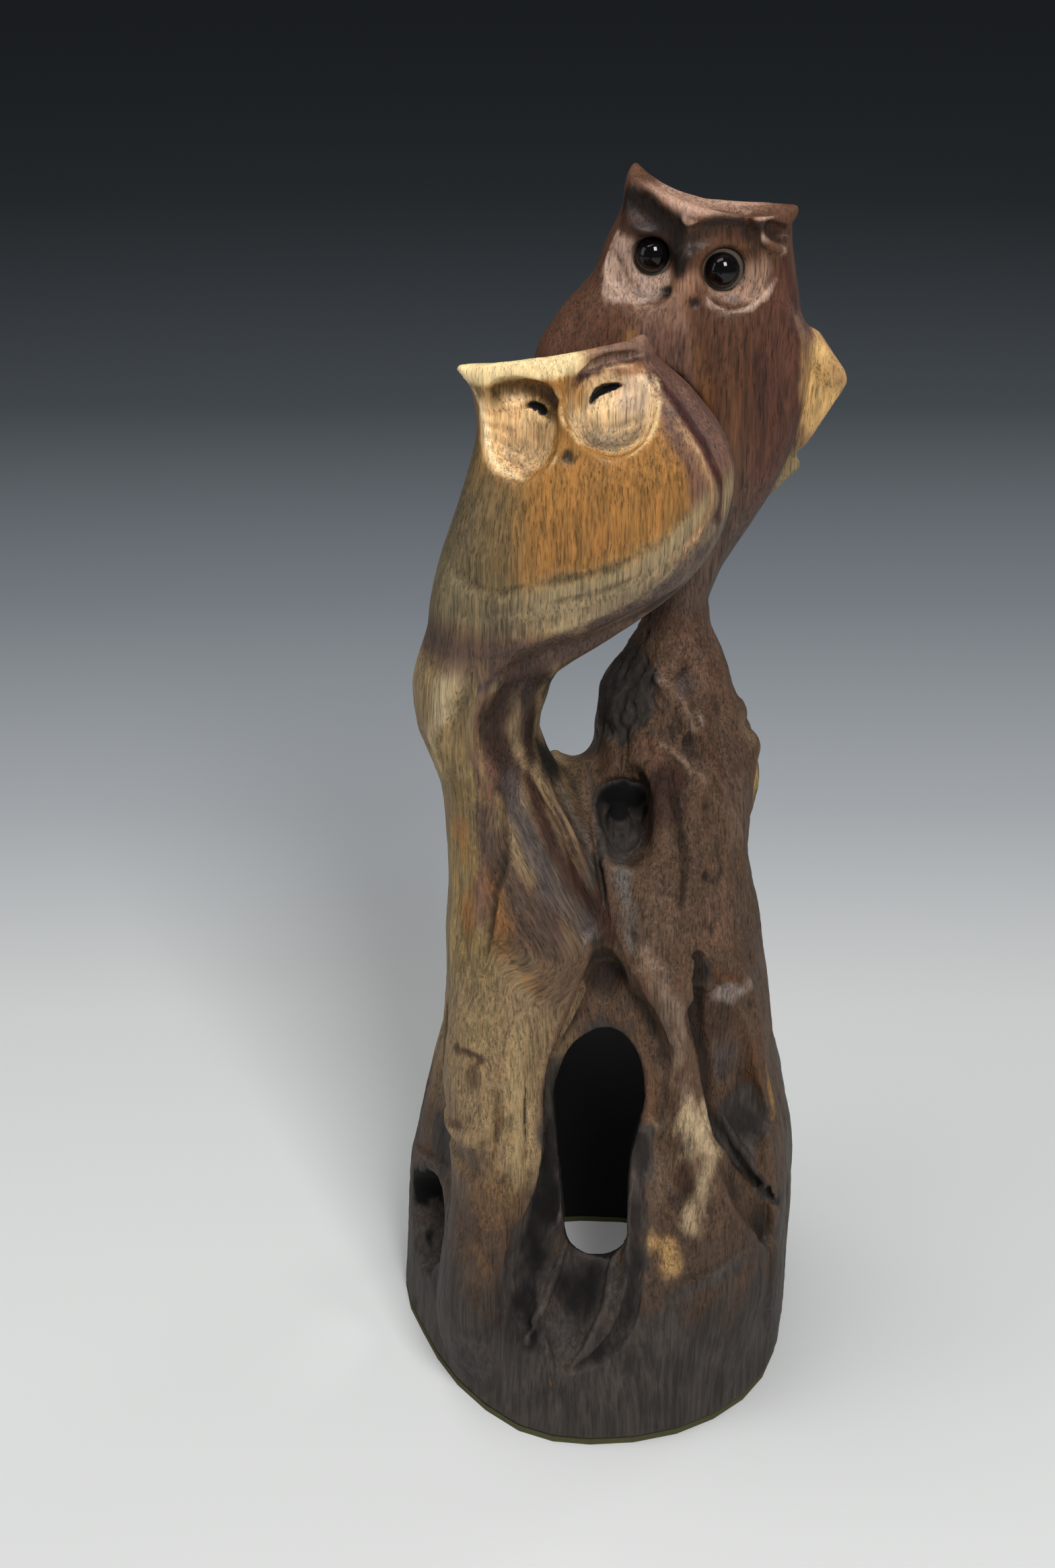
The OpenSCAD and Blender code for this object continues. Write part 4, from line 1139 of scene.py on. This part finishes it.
class Finish:
    """One material and the ways to add nodes to it. Lengths in its textures are millimetres."""

    def __init__(self, name, **constants):
        self.material = bpy.data.materials.new(name)
        self.material.use_nodes = True
        self.tree = self.material.node_tree
        self.shader = self.tree.nodes["Principled BSDF"]
        for socket, value in constants.items():
            self.shader.inputs[socket.replace("_", " ")].default_value = value

    def node(self, kind, settings, inputs, output=0):
        """Adds a node with its settings and the values or links of its sockets."""
        made = self.tree.nodes.new(kind)
        for name, value in settings.items():
            if name == "stops":
                self.set_stops(made.color_ramp, value)
            else:
                setattr(made, name, value)
        for key, value in inputs.items():
            socket = made.inputs[key] if isinstance(key, int) else next(
                s for s in made.inputs if s.enabled and s.name == key)
            self.feed(socket, value)
        sockets = [s for s in made.outputs if s.enabled]
        return Wire(self, sockets[output] if isinstance(output, int) else made.outputs[output])

    def set_stops(self, gradient, stops):
        while len(gradient.elements) < len(stops):
            gradient.elements.new(0.5)
        for element, (place, colour) in zip(gradient.elements, stops):
            element.position = place
            element.color = (*colour, 1)

    def feed(self, socket, value):
        if isinstance(value, Wire):
            self.tree.links.new(value.socket, socket)
        elif isinstance(value, (tuple, list, np.ndarray)) and len(value) == 3 and socket.type == "RGBA":
            socket.default_value = (*value, 1)
        else:
            socket.default_value = value

    def give(self, name, value):
        self.feed(self.shader.inputs[name], value)

    def attribute(self, name, output="Fac"):
        return self.node("ShaderNodeAttribute", {"attribute_name": name}, {}, output)

    def place(self):
        """Place on the object in millimetres."""
        spot = self.node("ShaderNodeTexCoord", {}, {}, "Object")
        return self.node("ShaderNodeVectorMath", {"operation": "SCALE"}, {0: spot, "Scale": 1 / MM})

    def stretched(self, place, scale):
        return self.node("ShaderNodeVectorMath", {"operation": "MULTIPLY"}, {0: place, 1: scale})

    def noise(self, place, scale, detail=3.0, roughness=0.55, distortion=0.0):
        """Noise from 0 to 1; scale is how many bumps fit in a millimetre along x, y and z."""
        return self.node("ShaderNodeTexNoise", {"noise_dimensions": "3D"},
                         {"Vector": self.stretched(place, scale), "Scale": 1.0, "Detail": detail,
                          "Roughness": roughness, "Distortion": distortion}, "Fac")

    def band(self, value, low, high, start=0.0, end=1.0):
        """Start below the low value, end above the high one, smooth between."""
        return self.node("ShaderNodeMapRange", {"interpolation_type": "SMOOTHSTEP"},
                         {"Value": value, "From Min": low, "From Max": high, "To Min": start, "To Max": end})

    def mix(self, share, first, second, blend="MIX"):
        return self.node("ShaderNodeMix", {"data_type": "RGBA", "blend_type": blend},
                         {"Factor": share, "A": first, "B": second})

    def dimmed(self, colour, amount):
        """The colour times a value."""
        return self.node("ShaderNodeVectorMath", {"operation": "SCALE"}, {0: colour, "Scale": amount})

    def bump(self, height, distance, strength=1.0):
        """Raises the surface by height times distance, in millimetres."""
        self.give("Normal", self.node("ShaderNodeBump", {}, {"Strength": strength, "Distance": distance * MM,
                                                               "Height": height}))


# near-black painted into grooves and hollows as shade
GROOVE_SHADE = (0.012, 0.008, 0.006)
DARK_CHAR = (0.020, 0.017, 0.015)
PALE_CHAR = (0.068, 0.056, 0.049)
SOOT = (0.0035, 0.003, 0.003)


def carved_wood_finish():
    wood = Finish("carved_wood", Specular_IOR_Level=0.20, Coat_Roughness=0.32)
    grain = wood.attribute("grain", "Vector")
    scorch = wood.attribute("scorch")
    crest = wood.attribute("crest")
    rasp = wood.attribute("rasp")
    streak = wood.noise(grain, (0.9, 0.9, 0.035), 5, 0.6)
    line = wood.noise(grain, (1.9, 1.9, 0.04), 4, 0.65)
    fibre = wood.noise(grain, (2.6, 2.6, 0.15), 4, 0.65)
    cloud = wood.noise(grain, (0.10, 0.10, 0.05), 3, 0.5, 0.6)
    pore = wood.band(wood.noise(grain, (2.6, 2.6, 0.14), 1.5, 0.5), 0.58, 0.70)
    fleck = wood.noise(grain, (1.7, 1.7, 0.8), 4, 0.7, 0.4)
    mark = wood.noise(grain, (1.1, 1.1, 0.7), 4, 0.65)

    stain = wood.attribute("stain", "Color")
    figure = 0.9 * streak + 0.9 * line + 0.9 * fibre + 0.5 * cloud + 1.0 * rasp * (fleck - 0.5)
    shade = wood.band(figure, 1.10, 2.10, 0.28, 1.30)
    colour = wood.dimmed(stain, shade)
    warm = wood.band(streak, 0.45, 0.68, 0, 0.35)
    colour = wood.mix(warm, colour, (1.10, 0.86, 0.66), "MULTIPLY")
    colour = wood.mix(pore * 0.50, colour, wood.dimmed(stain, 0.18))
    colour = wood.mix(rasp * wood.band(fleck, 0.55, 0.66) * 0.55, colour, wood.dimmed(stain, 1.7))
    # painted shade: grooves and hollows, where the crest value is low, are darkened towards near-black
    colour = wood.mix(wood.band(crest, 0.42, 0.10, 0, 0.85), colour, GROOVE_SHADE)
    colour = wood.mix(wood.band(crest, 0.58, 0.95, 0, 0.35), colour, wood.dimmed(stain, 1.25))
    charring = wood.band(0.6 * streak + 0.4 * cloud + 0.3 * line, 0.50, 0.85)
    char = wood.mix(charring, DARK_CHAR, PALE_CHAR)
    burnt = wood.band(scorch + 0.5 * (line - 0.5) + 0.6 * (streak - 0.5) + 0.3 * (mark - 0.5), 0.2, 0.95)
    colour = wood.mix(burnt * 0.90, colour, char)
    soot = wood.band(scorch + 0.3 * (streak - 0.5), 0.95, 1.9)
    colour = wood.mix(soot, colour, SOOT)
    wood.give("Base Color", colour)
    wood.give("Roughness", 0.44 + 0.16 * fibre + 0.14 * rasp + 0.10 * burnt + 0.25 * soot)
    wood.give("Coat Weight", wood.band(rasp + 0.8 * burnt, 0.6, 0.0, 0.0, 0.10))
    relief = 0.6 * fibre + 0.4 * line + 0.3 * streak - 0.5 * pore + rasp * (2.2 * mark + 1.2 * fleck)
    wood.bump(relief * (1 - 0.75 * burnt), 0.22)
    return wood.material


def glass_bead_finish():
    glass = Finish("black_glass", Coat_Weight=0.12, Coat_Roughness=0.02, Specular_IOR_Level=0.25)
    place = glass.place()
    depth = glass.noise(place, (0.5, 0.5, 0.5), 2)
    glass.give("Base Color", glass.mix(depth, (0.0010, 0.0010, 0.0014), (0.004, 0.003, 0.003)))
    glass.give("Roughness", 0.02 + 0.05 * glass.noise(place, (2.5, 2.5, 2.5), 4))
    return glass.material


def bedding_finish():
    putty = Finish("dark_putty", Specular_IOR_Level=0.3)
    place = putty.place()
    grit = putty.noise(place, (5, 5, 5), 4)
    putty.give("Base Color", putty.mix(grit, (0.02, 0.015, 0.012), (0.13, 0.10, 0.08)))
    putty.give("Roughness", 0.5 + 0.3 * grit)
    putty.bump(grit, 0.06)
    return putty.material


def wire_finish():
    steel = Finish("steel_wire", Metallic=1.0)
    drawn = steel.noise(steel.place(), (6, 0.4, 6), 3)
    steel.give("Base Color", steel.mix(drawn, (0.38, 0.38, 0.39), (0.62, 0.62, 0.63)))
    steel.give("Roughness", 0.28 + 0.2 * drawn)
    return steel.material


def felt_finish():
    felt = Finish("olive_felt", Roughness=0.95, Specular_IOR_Level=0.15)
    place = felt.place()
    fuzz = felt.noise(place, (3, 3, 3), 5, 0.7, 1.2)
    tufts = felt.noise(place, (0.5, 0.5, 0.9), 3)
    colour = felt.mix(fuzz, (0.05, 0.048, 0.022), (0.14, 0.13, 0.062))
    felt.give("Base Color", felt.mix(tufts * 0.4, colour, (0.06, 0.06, 0.03)))
    felt.bump(fuzz, 0.25)
    return felt.material


def paper_finish():
    """Backdrop paper with painted shade: pale under the carving, darkening to dark grey behind it as the
    light would fall off.
    """
    paper = Finish("paper_with_painted_falloff", Specular_IOR_Level=0.1)
    spot = paper.node("ShaderNodeTexCoord", {}, {}, "Object")
    away = paper.node("ShaderNodeSeparateXYZ", {}, {"Vector": spot}, "Y")
    share = paper.node("ShaderNodeMapRange", {}, {"Value": away, "From Min": -0.2, "From Max": 1.8})
    # painted shade: the paper's colour darkens with distance behind the carving, standing in for the fall-off
    # of the light
    stops = [(0.0, (0.69, 0.69, 0.68)), (0.12, (0.65, 0.66, 0.65)), (0.17, (0.62, 0.63, 0.62)),
             (0.24, (0.41, 0.43, 0.45)), (0.35, (0.235, 0.26, 0.285)), (0.52, (0.095, 0.11, 0.125)),
             (0.87, (0.055, 0.065, 0.075))]
    tint = paper.node("ShaderNodeValToRGB", {"stops": stops}, {"Fac": share})
    weave = paper.noise(paper.place(), (1.5, 1.5, 1.5), 3)
    paper.give("Base Color", paper.mix(weave * 0.03, tint, (0.3, 0.3, 0.3)))
    paper.give("Roughness", 0.8 + 0.1 * weave)
    return paper.material


# ---------------------------------------------------------------- the pieces

def make_carving():
    block = carve()
    points, quads, triangles = block.mesh()
    carving = new_object("carving", points * MM, quads, triangles)
    roughen(carving)
    count = sum(len(face.vertices) - 2 for face in carving.data.polygons)  # a quad is two triangles
    apply_modifier(carving, "DECIMATE", ratio=min(1.0, MOST_TRIANGLES / count))
    dress_carving(carving, block)
    carving.data.shade_smooth()
    carving.data.materials.append(carved_wood_finish())
    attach(carving, "root")
    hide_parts(*WOOD_NODES)


def finish_small_parts():
    finishes = {"eye_bead": glass_bead_finish(), "eye_bedding": bedding_finish(), "eye_wire": wire_finish()}
    for part, material in finishes.items():
        for side in ["left", "right"]:
            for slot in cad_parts[f"{side}_{part}"].material_slots:
                slot.material = material
    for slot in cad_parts["foot_pad"].material_slots:
        slot.material = felt_finish()


def make_floor():
    near, far, wide = -3, 8, 6
    floor = new_object("floor", [(-wide, near, 0), (wide, near, 0), (wide, far, 0), (-wide, far, 0)],
                       [(0, 1, 2, 3)])
    floor.data.materials.append(paper_finish())


def area_light(name, place, aim, size, power):
    light = bpy.data.lights.new(name, "AREA")
    light.shape = "RECTANGLE"
    light.size, light.size_y = size
    light.energy = power
    turn = (Vector(aim) - Vector(place)).to_track_quat("-Z", "Y").to_euler()
    place_object(name, light, place, turn)


def make_lights():
    area_light("key", (0.26, -0.80, 1.05), (0, 0, 0.17), (0.36, 0.46), 13)
    area_light("overhead", (-0.35, -0.05, 1.30), (0, 0, 0.15), (0.9, 0.7), 7)
    area_light("left", (-1.1, -0.3, 0.60), (0, 0, 0.15), (0.5, 0.9), 2.2)
    area_light("right_rim", (0.9, 0.6, 0.6), (0, 0, 0.15), (0.4, 0.9), 1.6)
    area_light("inside", (0.002, 0.004, 0.080), (-0.002, 0.022, 0), (0.02, 0.02), 0.012)


def make_studio():
    bpy.context.scene.view_settings.view_transform = "Standard"
    world = bpy.data.worlds.new("studio")
    bpy.context.scene.world = world
    world.use_nodes = True
    sky = world.node_tree.nodes["Background"]
    sky.inputs["Color"].default_value = (0.62, 0.66, 0.70, 1)
    sky.inputs["Strength"].default_value = 0.16


make_camera()
make_carving()
finish_small_parts()
make_floor()
make_lights()
make_studio()
